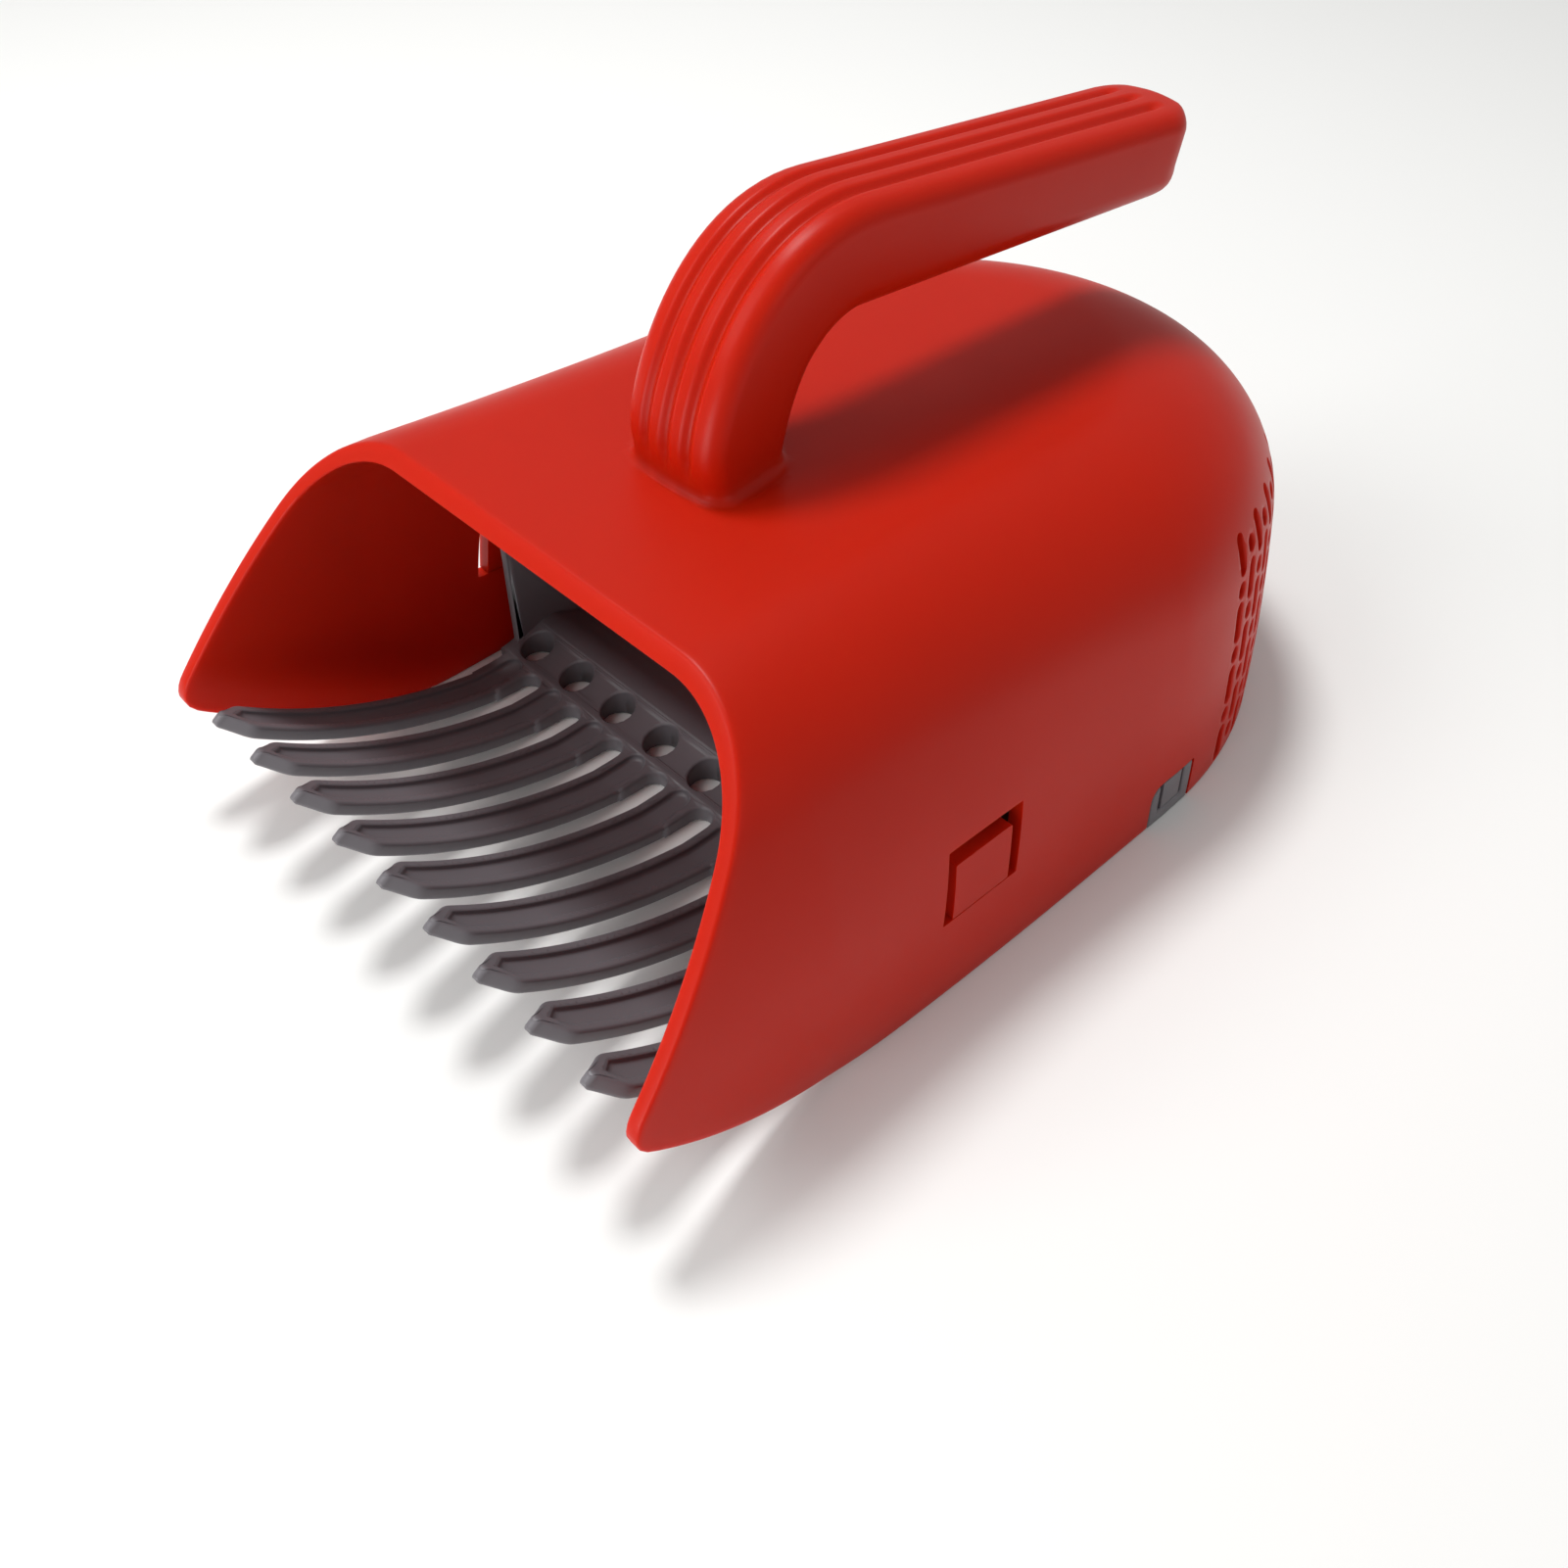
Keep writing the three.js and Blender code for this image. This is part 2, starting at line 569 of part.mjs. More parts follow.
// Side outline of teeth, root bar and floor
function traySide() {
  const crest = VALLEY_HEIGHT + (CREST_Y - VALLEY_Y - CREST_WIDTH / 2) ** 2 / (2 * RISE_RADIUS);
  const shape = new THREE.Shape();
  const underRadius = TOOTH_SWEEP_RADIUS + TOOTH_THICKNESS;
  const underStart = TOOTH_SWEEP_CENTRE_Y - Math.sqrt(underRadius ** 2 - TOOTH_SWEEP_CENTRE_Z ** 2);
  const topYs = frontToBackYs(combFront, VALLEY_Y);
  shape.moveTo(topYs[0], toothTop(topYs[0]));
  topYs.slice(1).forEach((y) => shape.lineTo(y, toothTop(y)));
  const riseEnd = CREST_Y - CREST_WIDTH / 2;
  const slope = 2 * (crest - VALLEY_HEIGHT) / (riseEnd - VALLEY_Y);
  const fallStart = CREST_Y + CREST_WIDTH / 2;
  shape.quadraticCurveTo((VALLEY_Y + riseEnd) / 2, VALLEY_HEIGHT, riseEnd, crest);
  shape.quadraticCurveTo(CREST_Y, crest + slope * CREST_WIDTH / 2, fallStart, crest);
  shape.bezierCurveTo(
    fallStart + CREST_WIDTH / 2, crest - slope * CREST_WIDTH / 2,
    (fallStart + FLOOR_START_Y) / 2, FLOOR_THICKNESS,
    FLOOR_START_Y, FLOOR_THICKNESS);
  shape.lineTo(hoodRear, FLOOR_THICKNESS);
  shape.lineTo(hoodRear, 0);
  shape.lineTo(underStart, 0);
  frontToBackYs(combFront, underStart).toReversed().slice(1)
    .forEach((y) => shape.lineTo(y, sweepHeight(y, TOOTH_THICKNESS)));
  return shape;
}

function trayPlan() {
  const shape = new THREE.Shape();
  shape.moveTo(trayHalf, combFront - OVERRUN);
  shape.lineTo(trayHalf, HOOD_REAR_CENTRE_Y);
  shape.absellipse(0, HOOD_REAR_CENTRE_Y, trayHalf, trayRearReach, 0, Math.PI, false);
  shape.lineTo(-trayHalf, combFront - OVERRUN);
  return shape;
}

// Everything ahead of the pointed noses, square to the teeth there
function noseCutter() {
  const slope = Math.asin((TOOTH_SWEEP_CENTRE_Y - NOSE_Y) / TOOTH_SWEEP_RADIUS);
  const half = TOOTH_WIDTH / 2;
  const corners = [];
  for (let i = -lastTooth; i <= lastTooth; i += 1) {
    const x = i * TOOTH_PITCH;
    corners.push([x - half, -NOSE_DEPTH, NOSE_CORNER_ROUNDING]);
    corners.push([x, 0, NOSE_TIP_ROUNDING]);
    corners.push([x + half, -NOSE_DEPTH, NOSE_CORNER_ROUNDING]);
  }
  const shape = outline([
    [-trayHalf - OVERRUN, -NOSE_DEPTH],
    ...corners,
    [trayHalf + OVERRUN, -NOSE_DEPTH],
    [trayHalf + OVERRUN, 2 * OVERRUN],
    [-trayHalf - OVERRUN, 2 * OVERRUN],
  ]);
  const geometry = new THREE.ExtrudeGeometry(shape, {
    depth: 2 * OVERRUN, bevelEnabled: false, curveSegments: CORNER_STEPS,
  });
  geometry.translate(0, 0, -OVERRUN);
  const across = new THREE.Vector3(1, 0, 0);
  const forward = new THREE.Vector3(0, -Math.cos(slope), Math.sin(slope));
  const matrix = new THREE.Matrix4().makeBasis(across, forward, across.clone().cross(forward));
  matrix.setPosition(0, NOSE_Y, sweepHeight(NOSE_Y));
  geometry.applyMatrix4(matrix);
  return solidOf(geometry);
}

// Groove along one tooth: a plan outline with a pointed front, cut down to the groove's floor
function grooveCutters() {
  const half = GROOVE_WIDTH / 2;
  const tip = NOSE_Y + GROOVE_NOSE_RIM;
  const ys = frontToBackYs(tip - OVERRUN, GROOVE_END_Y + OVERRUN);
  const sink = (y) => GROOVE_NOSE_SINK
    + (GROOVE_ROOT_SINK - GROOVE_NOSE_SINK) * Math.min(1, Math.max(0, (y - tip) / (GROOVE_END_Y - tip)));
  const above = new THREE.Shape();
  above.moveTo(ys[0], TOOTH_SWEEP_CENTRE_Z);
  ys.forEach((y) => above.lineTo(y, toothTop(y) - sink(y)));
  above.lineTo(ys.at(-1), TOOTH_SWEEP_CENTRE_Z);
  const room = stretched(above, -trayHalf, trayHalf);
  const columns = [];
  for (let i = -lastTooth; i <= lastTooth; i += 1) {
    const x = i * TOOTH_PITCH;
    const shape = new THREE.Shape();
    shape.moveTo(x, tip);
    shape.lineTo(x + half, tip + half);
    shape.lineTo(x + half, GROOVE_END_Y);
    shape.absarc(x, GROOVE_END_Y, half, 0, Math.PI, false);
    shape.lineTo(x - half, tip + half);
    columns.push(raised(shape, 0, TOOTH_SWEEP_CENTRE_Z, SHOULDER_STEPS));
  }
  return wasm.Manifold.union(columns).intersect(room);
}

function gapCutters() {
  const half = (TOOTH_PITCH - TOOTH_WIDTH) / 2;
  const cutters = [];
  for (let i = -lastTooth; i < lastTooth; i += 1) {
    const x = (i + 1 / 2) * TOOTH_PITCH;
    cutters.push(raised(strip(x, half, combFront - OVERRUN, GAP_END_Y), -OVERRUN, TOOTH_SWEEP_CENTRE_Z, SHOULDER_STEPS));
  }
  const outside = lastTooth * TOOTH_PITCH + TOOTH_WIDTH / 2;
  const side = outline([
    [outside, combFront - OVERRUN],
    [trayHalf + OVERRUN, combFront - OVERRUN],
    [trayHalf + OVERRUN, GAP_END_Y + half],
    [outside, GAP_END_Y + half, half],
  ]);
  const edge = raised(side, -OVERRUN, TOOTH_SWEEP_CENTRE_Z);
  return wasm.Manifold.union([...cutters, edge, mirrored(edge)]);
}

function drainCutters() {
  const holes = [];
  for (let i = -lastTooth; i <= lastTooth; i += 1) {
    const shape = new THREE.Shape();
    shape.absarc(i * TOOTH_PITCH, DRAIN_Y, DRAIN_RADIUS, 0, 2 * Math.PI, false);
    holes.push(raised(shape, -OVERRUN, TOOTH_SWEEP_CENTRE_Z, ROUND_STEPS));
  }
  return wasm.Manifold.union(holes);
}

function trayWall() {
  const shape = outline([
    [TRAY_WALL_FRONT_Y, 0],
    [TRAY_WALL_REAR_Y, 0],
    [TRAY_WALL_REAR_Y, TRAY_WALL_REAR_HEIGHT, TRAY_WALL_ROUNDING / 2],
    [TRAY_WALL_FRONT_Y, TRAY_WALL_FRONT_HEIGHT, TRAY_WALL_ROUNDING],
  ]);
  const lug = block(
    [trayHalf - TRAY_WALL / 2, CATCH_Y - CATCH_LEDGE_WIDTH / 2, CATCH_TOP_Z + SEAT_GAP],
    [trayHalf + LUG_REACH, CATCH_Y + CATCH_LEDGE_WIDTH / 2, CATCH_TOP_Z + SEAT_GAP + LUG_HEIGHT]);
  return stretched(shape, trayHalf - TRAY_WALL, trayHalf, CORNER_STEPS).add(lug);
}

function combTray(outerBody, tabInside) {
  const plan = raised(trayPlan(), -OVERRUN, TOOTH_SWEEP_CENTRE_Z, ROUND_STEPS);
  const slab = stretched(traySide(), -trayHalf, trayHalf, SHOULDER_STEPS).intersect(plan);
  const comb = slab.subtract(noseCutter()).subtract(gapCutters()).subtract(grooveCutters()).subtract(drainCutters());
  const side = trayWall().add(tab(outerBody, tabInside));
  return comb.add(side).add(mirrored(side));
}

// Materials: satin moulded polypropylene in red and in dark grey
const red = () => new THREE.MeshStandardMaterial({ color: 0xc4290c, roughness: 0.38, metalness: 0 });
const grey = () => new THREE.MeshStandardMaterial({ color: 0x4a494c, roughness: 0.45, metalness: 0 });

function meshOf(name, solid, material) {
  const { vertProperties, triVerts } = solid.asOriginal().simplify(FLAT_TOLERANCE).getMesh();
  const geometry = new THREE.BufferGeometry();
  geometry.setAttribute('position', new THREE.BufferAttribute(new Float32Array(vertProperties), 3));
  geometry.setIndex(new THREE.BufferAttribute(new Uint32Array(triVerts), 1));
  geometry.computeVertexNormals();
  const mesh = new THREE.Mesh(geometry, material);
  mesh.name = name;
  return mesh;
}

// Assembly
const outerBody = hoodBody(0);
const tabInside = hoodBody(TAB_THICKNESS);
const shell = outerBody.add(handleArm()).subtract(hoodBody(HOOD_WALL));
const tabNotches = stretched(tabOutline(0), -frontReach - OVERRUN, frontReach + OVERRUN);
const hood = shell.intersect(hoodSide().add(handleArm()))
  .subtract(catchWindow())
  .subtract(tabNotches)
  .subtract(ventCutters());

const rake = new THREE.Group();
rake.add(meshOf('hood', hood, red()));
rake.add(meshOf('comb_tray', combTray(outerBody, tabInside), grey()));
rake.add(meshOf('side_catch_right', sideCatch(1, shell, outerBody), red()));
rake.add(meshOf('side_catch_left', sideCatch(-1, shell, outerBody), red()));
rake.add(meshOf('rear_latch_right', rearLatch(1, outerBody, tabInside), grey()));
rake.add(meshOf('rear_latch_left', rearLatch(-1, outerBody, tabInside), grey()));

// The origin stands midway between the front tips and the rear, on the floor
const bounds = new THREE.Box3().setFromObject(rake);
rake.position.y = -(bounds.min.y + bounds.max.y) / 2;

export default rake;
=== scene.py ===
# %% [markdown]
# # A berry picking rake in Blender
# The rake is two plastic mouldings: a red hood with its carrying handle, and a dark grey comb tray
# that snaps in from below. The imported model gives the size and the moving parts. This script
# dresses it: it shapes finer pieces in the same places, gives them satin plastic, and sets up the
# studio.

# %% Load the fixed frame
import math
import bpy
import numpy as np
from mathutils import Matrix, Vector


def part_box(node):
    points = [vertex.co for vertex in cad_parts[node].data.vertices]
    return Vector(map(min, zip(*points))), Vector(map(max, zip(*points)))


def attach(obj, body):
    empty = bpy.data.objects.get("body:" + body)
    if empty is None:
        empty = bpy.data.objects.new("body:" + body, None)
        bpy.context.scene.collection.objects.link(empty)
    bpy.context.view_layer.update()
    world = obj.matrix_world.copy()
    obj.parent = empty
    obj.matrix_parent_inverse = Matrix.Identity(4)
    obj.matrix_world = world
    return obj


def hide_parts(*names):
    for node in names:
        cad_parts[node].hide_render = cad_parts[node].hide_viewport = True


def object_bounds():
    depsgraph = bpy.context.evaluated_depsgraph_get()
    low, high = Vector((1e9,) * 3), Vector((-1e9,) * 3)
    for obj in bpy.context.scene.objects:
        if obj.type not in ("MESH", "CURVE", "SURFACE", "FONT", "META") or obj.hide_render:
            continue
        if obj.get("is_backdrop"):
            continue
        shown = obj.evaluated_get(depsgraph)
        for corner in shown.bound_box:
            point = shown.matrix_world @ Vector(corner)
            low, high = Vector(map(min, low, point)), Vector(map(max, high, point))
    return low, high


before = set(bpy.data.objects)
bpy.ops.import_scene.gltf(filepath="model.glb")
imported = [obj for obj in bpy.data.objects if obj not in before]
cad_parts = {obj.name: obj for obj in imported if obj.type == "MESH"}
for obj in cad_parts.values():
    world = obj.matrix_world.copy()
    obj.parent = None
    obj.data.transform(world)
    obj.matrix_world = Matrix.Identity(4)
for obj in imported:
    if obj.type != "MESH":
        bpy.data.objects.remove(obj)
cad_low, cad_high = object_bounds()
MM = 0.001

# %% [markdown]
# The picture was taken from the right of the mouth, well above it. A camera is a place, three
# angles and a lens. It comes first, because every later choice of detail depends on what it sees.

# %% Camera at the photograph's viewing angle
CAMERA_PLACE_MM = Vector((194.17, -192.17, 244.97))
CAMERA_AZIMUTH = math.radians(47.28)
CAMERA_ELEVATION = math.radians(44.30)
CAMERA_ROLL = math.radians(-0.53)
CAMERA_LENS_MM = 36.9
SENSOR_MM = 36


def camera_axes(azimuth, elevation, roll):
    """The directions to the camera's right, to its top and back from its lens."""
    back = Vector((math.sin(azimuth) * math.cos(elevation),
                   -math.cos(azimuth) * math.cos(elevation), math.sin(elevation)))
    level = Vector((math.cos(azimuth), math.sin(azimuth), 0))
    upright = back.cross(level)
    right = level * math.cos(roll) + upright * math.sin(roll)
    return right, back.cross(right), back


bpy.ops.object.camera_add(location=CAMERA_PLACE_MM * MM)
camera = bpy.context.object
camera.data.sensor_width = SENSOR_MM
camera.data.lens = CAMERA_LENS_MM
camera.data.clip_start = 10 * MM
camera.data.clip_end = 10
turned = Matrix(camera_axes(CAMERA_AZIMUTH, CAMERA_ELEVATION, CAMERA_ROLL)).transposed()
camera.rotation_euler = turned.to_euler()
bpy.context.scene.camera = camera
print("camera", [round(c, 3) for c in camera.location])

# %% [markdown]
# The studio is a pale floor, a white surround and four soft lamps. The floor lies a hair under the
# rake, so that the two faces don't flicker. It is dull, so that it shows shadows but no reflection.

# %% Floor
FLOOR_SIZE = 4.0
FLOOR_DROP = 0.2 * MM
bpy.ops.mesh.primitive_plane_add(size=FLOOR_SIZE, location=(0, 0, -FLOOR_DROP))
floor = bpy.context.object
floor.name = "studio_floor"
floor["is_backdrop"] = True
print("floor", floor.name, "size m", FLOOR_SIZE)

# %% [markdown]
# A material in Blender is a tree of shader nodes. Three helpers keep the trees short to read: one
# adds a node, one turns a colour's hex code into linear numbers, and one starts an empty tree.

# %% Helpers for shader nodes and colours
def node_in(tree, kind, settings=None, links=None):
    """Adds one shader node, sets its sockets or properties, and links its inputs."""
    node = tree.nodes.new(kind)
    for key, value in (settings or {}).items():
        if key in node.inputs:
            node.inputs[key].default_value = value
        else:
            setattr(node, key, value)
    for key, socket in (links or {}).items():
        tree.links.new(socket, node.inputs[key])
    return node


def from_hex(code):
    """A colour written as sRGB hex, in the linear values that shaders use."""
    shares = [int(code[i:i + 2], 16) / 255 for i in (0, 2, 4)]
    return (*[s / 12.92 if s <= 0.04045 else ((s + 0.055) / 1.055) ** 2.4 for s in shares], 1)


def empty_material(name):
    material = bpy.data.materials.new(name)
    material.use_nodes = True
    material.node_tree.nodes.clear()
    return material, material.node_tree


def studio_floor_paint():
    material, tree = empty_material("studio_floor_paint")
    paint = node_in(tree, "ShaderNodeBsdfDiffuse", {"Color": from_hex("F2F2F0")})
    node_in(tree, "ShaderNodeOutputMaterial", links={"Surface": paint.outputs[0]})
    return material


floor.data.materials.append(studio_floor_paint())
print("floor paint", floor.data.materials[0].name)

# %% [markdown]
# The camera sees a brighter surround than the rake does. That keeps the background white, while the
# shadows stay as deep as in the picture. A Light Path node tells the two kinds of ray apart.

# %% White surround
WHITE = (1, 1, 1, 1)
SURROUND_STRENGTH, BACKDROP_STRENGTH = 0.4, 1.0
world = bpy.data.worlds.new("studio_surround")
bpy.context.scene.world = world
world.use_nodes = True
world.node_tree.nodes.clear()
rays = node_in(world.node_tree, "ShaderNodeLightPath")
surround = node_in(world.node_tree, "ShaderNodeBackground",
                   {"Color": WHITE, "Strength": SURROUND_STRENGTH})
backdrop = node_in(world.node_tree, "ShaderNodeBackground",
                   {"Color": WHITE, "Strength": BACKDROP_STRENGTH})
shown = node_in(world.node_tree, "ShaderNodeMixShader", links={
    0: rays.outputs["Is Camera Ray"], 1: surround.outputs[0], 2: backdrop.outputs[0]})
node_in(world.node_tree, "ShaderNodeOutputWorld", links={"Surface": shown.outputs[0]})
print("surround", SURROUND_STRENGTH, "backdrop", BACKDROP_STRENGTH)

# %% [markdown]
# The main lamp hangs above and to the left, so that the handle's shadow falls on the roof and the
# near side turns slowly darker. A low lamp in front shines into the mouth. Discs give soft shadows.

# %% Four soft lamps
def soft_lamp(name, place, aim, size, power):
    """A disc lamp at a place, turned to a point, both in metres."""
    bpy.ops.object.light_add(type="AREA", location=place)
    lamp = bpy.context.object
    lamp.name = name
    lamp.data.shape = "DISK"
    lamp.data.size = size
    lamp.data.energy = power
    lamp.rotation_euler = (Vector(aim) - Vector(place)).to_track_quat("-Z", "Y").to_euler()
    return lamp


soft_lamp("main_lamp", (-0.3, 0.03, 0.97), (0, 0, 0.05), 0.25, 6)
soft_lamp("front_lamp", (-0.3, -0.65, 0.75), (0, 0, 0.05), 0.6, 3.2)
soft_lamp("mouth_lamp", (0.05, -0.6, 0.04), (-0.02, 0, 0.04), 0.3, 1.9)
soft_lamp("side_lamp", (0.95, 0.1, 0.45), (0, 0, 0.05), 0.6, 0.8)
bpy.context.scene.view_settings.view_transform = "Standard"

# %% [markdown]
# Most of the work in this lesson is on meshes, so a few small helpers come first. Operators act on
# all that is selected, so the first one leaves a single object selected. The others apply a
# modifier, cut one piece with another, join pieces, close a tube's open ends, copy a piece, and
# move the points of a grid to where a rule says.

# %% Helpers for selecting, modifiers and copies
def only(piece):
    """Leaves one object selected and active."""
    bpy.ops.object.select_all(action="DESELECT")
    piece.select_set(True)
    bpy.context.view_layer.objects.active = piece
    return piece


def finish_with(piece, kind, **settings):
    """Adds a modifier with its settings and applies it."""
    only(piece)
    modifier = piece.modifiers.new(kind.lower(), kind)
    for key, value in settings.items():
        setattr(modifier, key, value)
    bpy.ops.object.modifier_apply(modifier=modifier.name)
    return piece


def cut(piece, cutter, operation="DIFFERENCE"):
    """Joins, cuts or intersects a piece with another, which is then deleted."""
    finish_with(piece, "BOOLEAN", operation=operation, solver="MANIFOLD", object=cutter)
    bpy.data.objects.remove(cutter)
    return piece


def joined(pieces):
    """Makes one object of several."""
    bpy.ops.object.select_all(action="DESELECT")
    for piece in pieces:
        piece.select_set(True)
    bpy.context.view_layer.objects.active = pieces[0]
    bpy.ops.object.join()
    return pieces[0]


def closed(piece):
    """Closes the open ends of a tube and turns its faces outwards."""
    only(piece)
    bpy.ops.object.mode_set(mode="EDIT")
    bpy.ops.mesh.select_all(action="SELECT")
    bpy.ops.mesh.fill_holes(sides=0)
    bpy.ops.mesh.normals_make_consistent(inside=False)
    bpy.ops.object.mode_set(mode="OBJECT")
    return piece


def copy_of(piece, name):
    """A copy of a piece, with its own mesh."""
    twin = piece.copy()
    twin.data = piece.data.copy()
    twin.name = name
    bpy.context.collection.objects.link(twin)
    return twin


def grid_of(name, columns, rows, place):
    """A grid primitive whose points go to place(column, row), in mould millimetres."""
    bpy.ops.mesh.primitive_grid_add(x_subdivisions=columns, y_subdivisions=rows, size=1)
    piece = bpy.context.object
    piece.name = name
    for point in piece.data.vertices:
        column = round((point.co.x + 1 / 2) * columns)
        row = round((point.co.y + 1 / 2) * rows)
        x, y, z = place(column, row)
        point.co = (x * MM, (y + MOULD_SHIFT) * MM, z * MM)
    return piece


# %% [markdown]
# The hood is one injection moulding of red polypropylene: a roof with round shoulders, two sides
# that bulge a little, and a round rear, all 3.2 mm thick. A section across it is a flat, a shoulder
# arc and a long side arc. The arcs change slowly from front to rear, so the shape is best made as a
# grid whose points are worked out from those arcs, rather than as a box with rounded corners. The
# sizes are in mould millimetres, which start at the mouth. MOULD_SHIFT moves them into the frame.

# %% Sizes of the hood, in mould millimetres
HOOD_WALL = 3.2
HOOD_HEIGHT = 83.2
ROOF_FALL = 0.0432
FRONT_REACH, REAR_REACH = 74.6, 72.5
FRONT_SHOULDER, REAR_SHOULDER = 29.5, 34.8
FRONT_SIDE, REAR_SIDE = 113.8, 511
FRONT_BULGE, REAR_BULGE = 22.8, -3.2
TAPER_START, REAR_CENTRE = -3, 95.9
REAR_DEPTH = 83.6
RIM_TOP, RIM_LEAN, TIP_ROUNDING = -5.6, 0.8, 7
BELLY_START, BELLY_RADIUS = 13.4, 74.5


def mixed(front, rear, share):
    """The value at a share of the way from one value to another."""
    return front + (rear - front) * share


def section(y, inset):
    """The section at y: flat, shoulder height, radius and turn, side centre, bulge and radius."""
    share = min(max((y - TAPER_START) / (REAR_CENTRE - TAPER_START), 0), 1)
    shoulder = mixed(FRONT_SHOULDER, REAR_SHOULDER, share)
    bulge = mixed(FRONT_BULGE, REAR_BULGE, share)
    side = 1 / mixed(1 / FRONT_SIDE, 1 / REAR_SIDE, share)
    centre = mixed(FRONT_REACH, REAR_REACH, share) - side
    height = HOOD_HEIGHT - shoulder
    flat = centre + math.sqrt((side - shoulder) ** 2 - (height - bulge) ** 2)
    turn = math.atan2(flat - centre, height - bulge)
    return flat, height, shoulder - inset, turn, centre, bulge, side - inset


def across_and_up(run, y, inset):
    """The point that lies a given run along the section from the roof's middle line."""
    flat, height, shoulder, turn, centre, bulge, side = section(y, inset)
    if run <= flat:
        return run, HOOD_HEIGHT - inset
    angle = (run - flat) / shoulder
    if angle <= turn:
        return flat + shoulder * math.sin(angle), height + shoulder * math.cos(angle)
    angle = turn + (run - flat - shoulder * turn) / side
    return centre + side * math.sin(angle), bulge + side * math.cos(angle)


def roof_share(y):
    """How far the falling roof line has come down at y, as a share of the full height."""
    return 1 - ROOF_FALL * (y - RIM_TOP) / HOOD_HEIGHT


def run_at(z, y, inset):
    """The run along the section at which the wall stands at height z."""
    flat, height, shoulder, turn, centre, bulge, side = section(y, inset)
    level = z / roof_share(y)
    if level > height + shoulder * math.cos(turn):
        return flat + shoulder * math.acos(min((level - height) / shoulder, 1))
    return flat + shoulder * turn + side * (math.acos((level - bulge) / side) - turn)


def on_wall(run, y, inset):
    """The point of the wall at a run along the section at y, under the falling roof line."""
    x, z = across_and_up(run, y, inset)
    return x, y, z * roof_share(y)


MOULD_SHIFT = -65.695
print("rear of the packed model, mould mm", round(cad_high.y / MM - MOULD_SHIFT, 2))

# %% [markdown]
# Seen from the side the moulding ends in a leaning rim, a rounded tip, a belly that sweeps down to
# the underside, and the flat underside. The grid's first row and last column lie on those lines
# exactly, so that the cut edge comes out clean and can be rounded.

# %% Rim, tip and belly as lines on the wall
TRACE_STEPS = 160
TIP_STEPS = TRACE_STEPS // 4


def bezier(points, share):
    """A point on the Bezier curve through any number of control points."""
    while len(points) > 1:
        points = [a.lerp(b, share) for a, b in zip(points, points[1:])]
    return points[0]


def side_lines():
    """The start of the tip's rounding, its corner and its end, as (y, z)."""
    foot = RIM_TOP - RIM_LEAN * HOOD_HEIGHT
    lean = RIM_LEAN / (2 * BELLY_RADIUS)
    reach = (1 - math.sqrt(1 - 4 * lean * (foot - BELLY_START))) / (2 * lean)
    tip = Vector((BELLY_START + reach, reach ** 2 / (2 * BELLY_RADIUS)))
    start = tip + Vector((RIM_LEAN, 1)).normalized() * TIP_ROUNDING
    end = reach + TIP_ROUNDING * math.sqrt(1 / 2)
    return start, tip, Vector((BELLY_START + end, end ** 2 / (2 * BELLY_RADIUS)))


def rim_y(run, inset):
    """Where the leaning rim cuts the wall at a run, found by trying the last answer again."""
    y = RIM_TOP
    for _ in range(8):
        y = RIM_TOP + RIM_LEAN * (on_wall(run, y, inset)[2] - HOOD_HEIGHT)
    return y


def evenly(traced, count, inset):
    """Points (y, run) at even spacing along a traced line on the wall."""
    places = np.array([on_wall(run, y, inset) for y, run in traced])
    lengths = np.concatenate([[0], np.cumsum(np.linalg.norm(np.diff(places, axis=0), axis=1))])
    wanted = np.linspace(0, lengths[-1], count + 1)
    return [(float(np.interp(w, lengths, [t[0] for t in traced])),
             float(np.interp(w, lengths, [t[1] for t in traced]))) for w in wanted]


def front_line(count, inset):
    """Points from the roof's middle line down the rim to the middle of the tip's rounding."""
    start, tip, end = side_lines()
    longest = run_at(start.y, start.x, inset)
    traced = [(rim_y(longest * i / TRACE_STEPS, inset), longest * i / TRACE_STEPS)
              for i in range(TRACE_STEPS + 1)]
    for i in range(1, TIP_STEPS + 1):
        y, z = bezier([start, tip, end], i / TIP_STEPS / 2)
        traced.append((y, run_at(z, y, inset)))
    return evenly(traced, count, inset)


def bottom_line(count, inset):
    """Points from the middle of the tip's rounding along the belly and the flat underside."""
    start, tip, end = side_lines()
    places = [bezier([start, tip, end], 1 / 2 + i / TIP_STEPS / 2) for i in range(TIP_STEPS)]
    middle, foot = Vector(((end.x + BELLY_START) / 2, 0)), Vector((BELLY_START, 0))
    places += [bezier([end, middle, foot], i / TRACE_STEPS) for i in range(TRACE_STEPS)]
    places += [Vector((y, 0)) for y in np.linspace(BELLY_START, REAR_CENTRE, TRACE_STEPS + 1)]
    return evenly([(y, run_at(z, y, inset)) for y, z in places], count, inset)


print("tip at y, z mm", [round(c, 1) for c in side_lines()[1]])

# %% [markdown]
# Only the right half of a skin is shaped. Its rows run from the mouth to the rear and fan round to
# the middle, its columns from the roof's middle line to the foot. The half is mirrored, once for
# the outside and once for the inside, and a bridge between the open edges closes the wall. Solidify
# would be quicker, but its edges would not lie in the rim's plane and on the ground.

# %% Both skins of the hood
AROUND = 84
ALONG = 70
REAR_FAN = 48


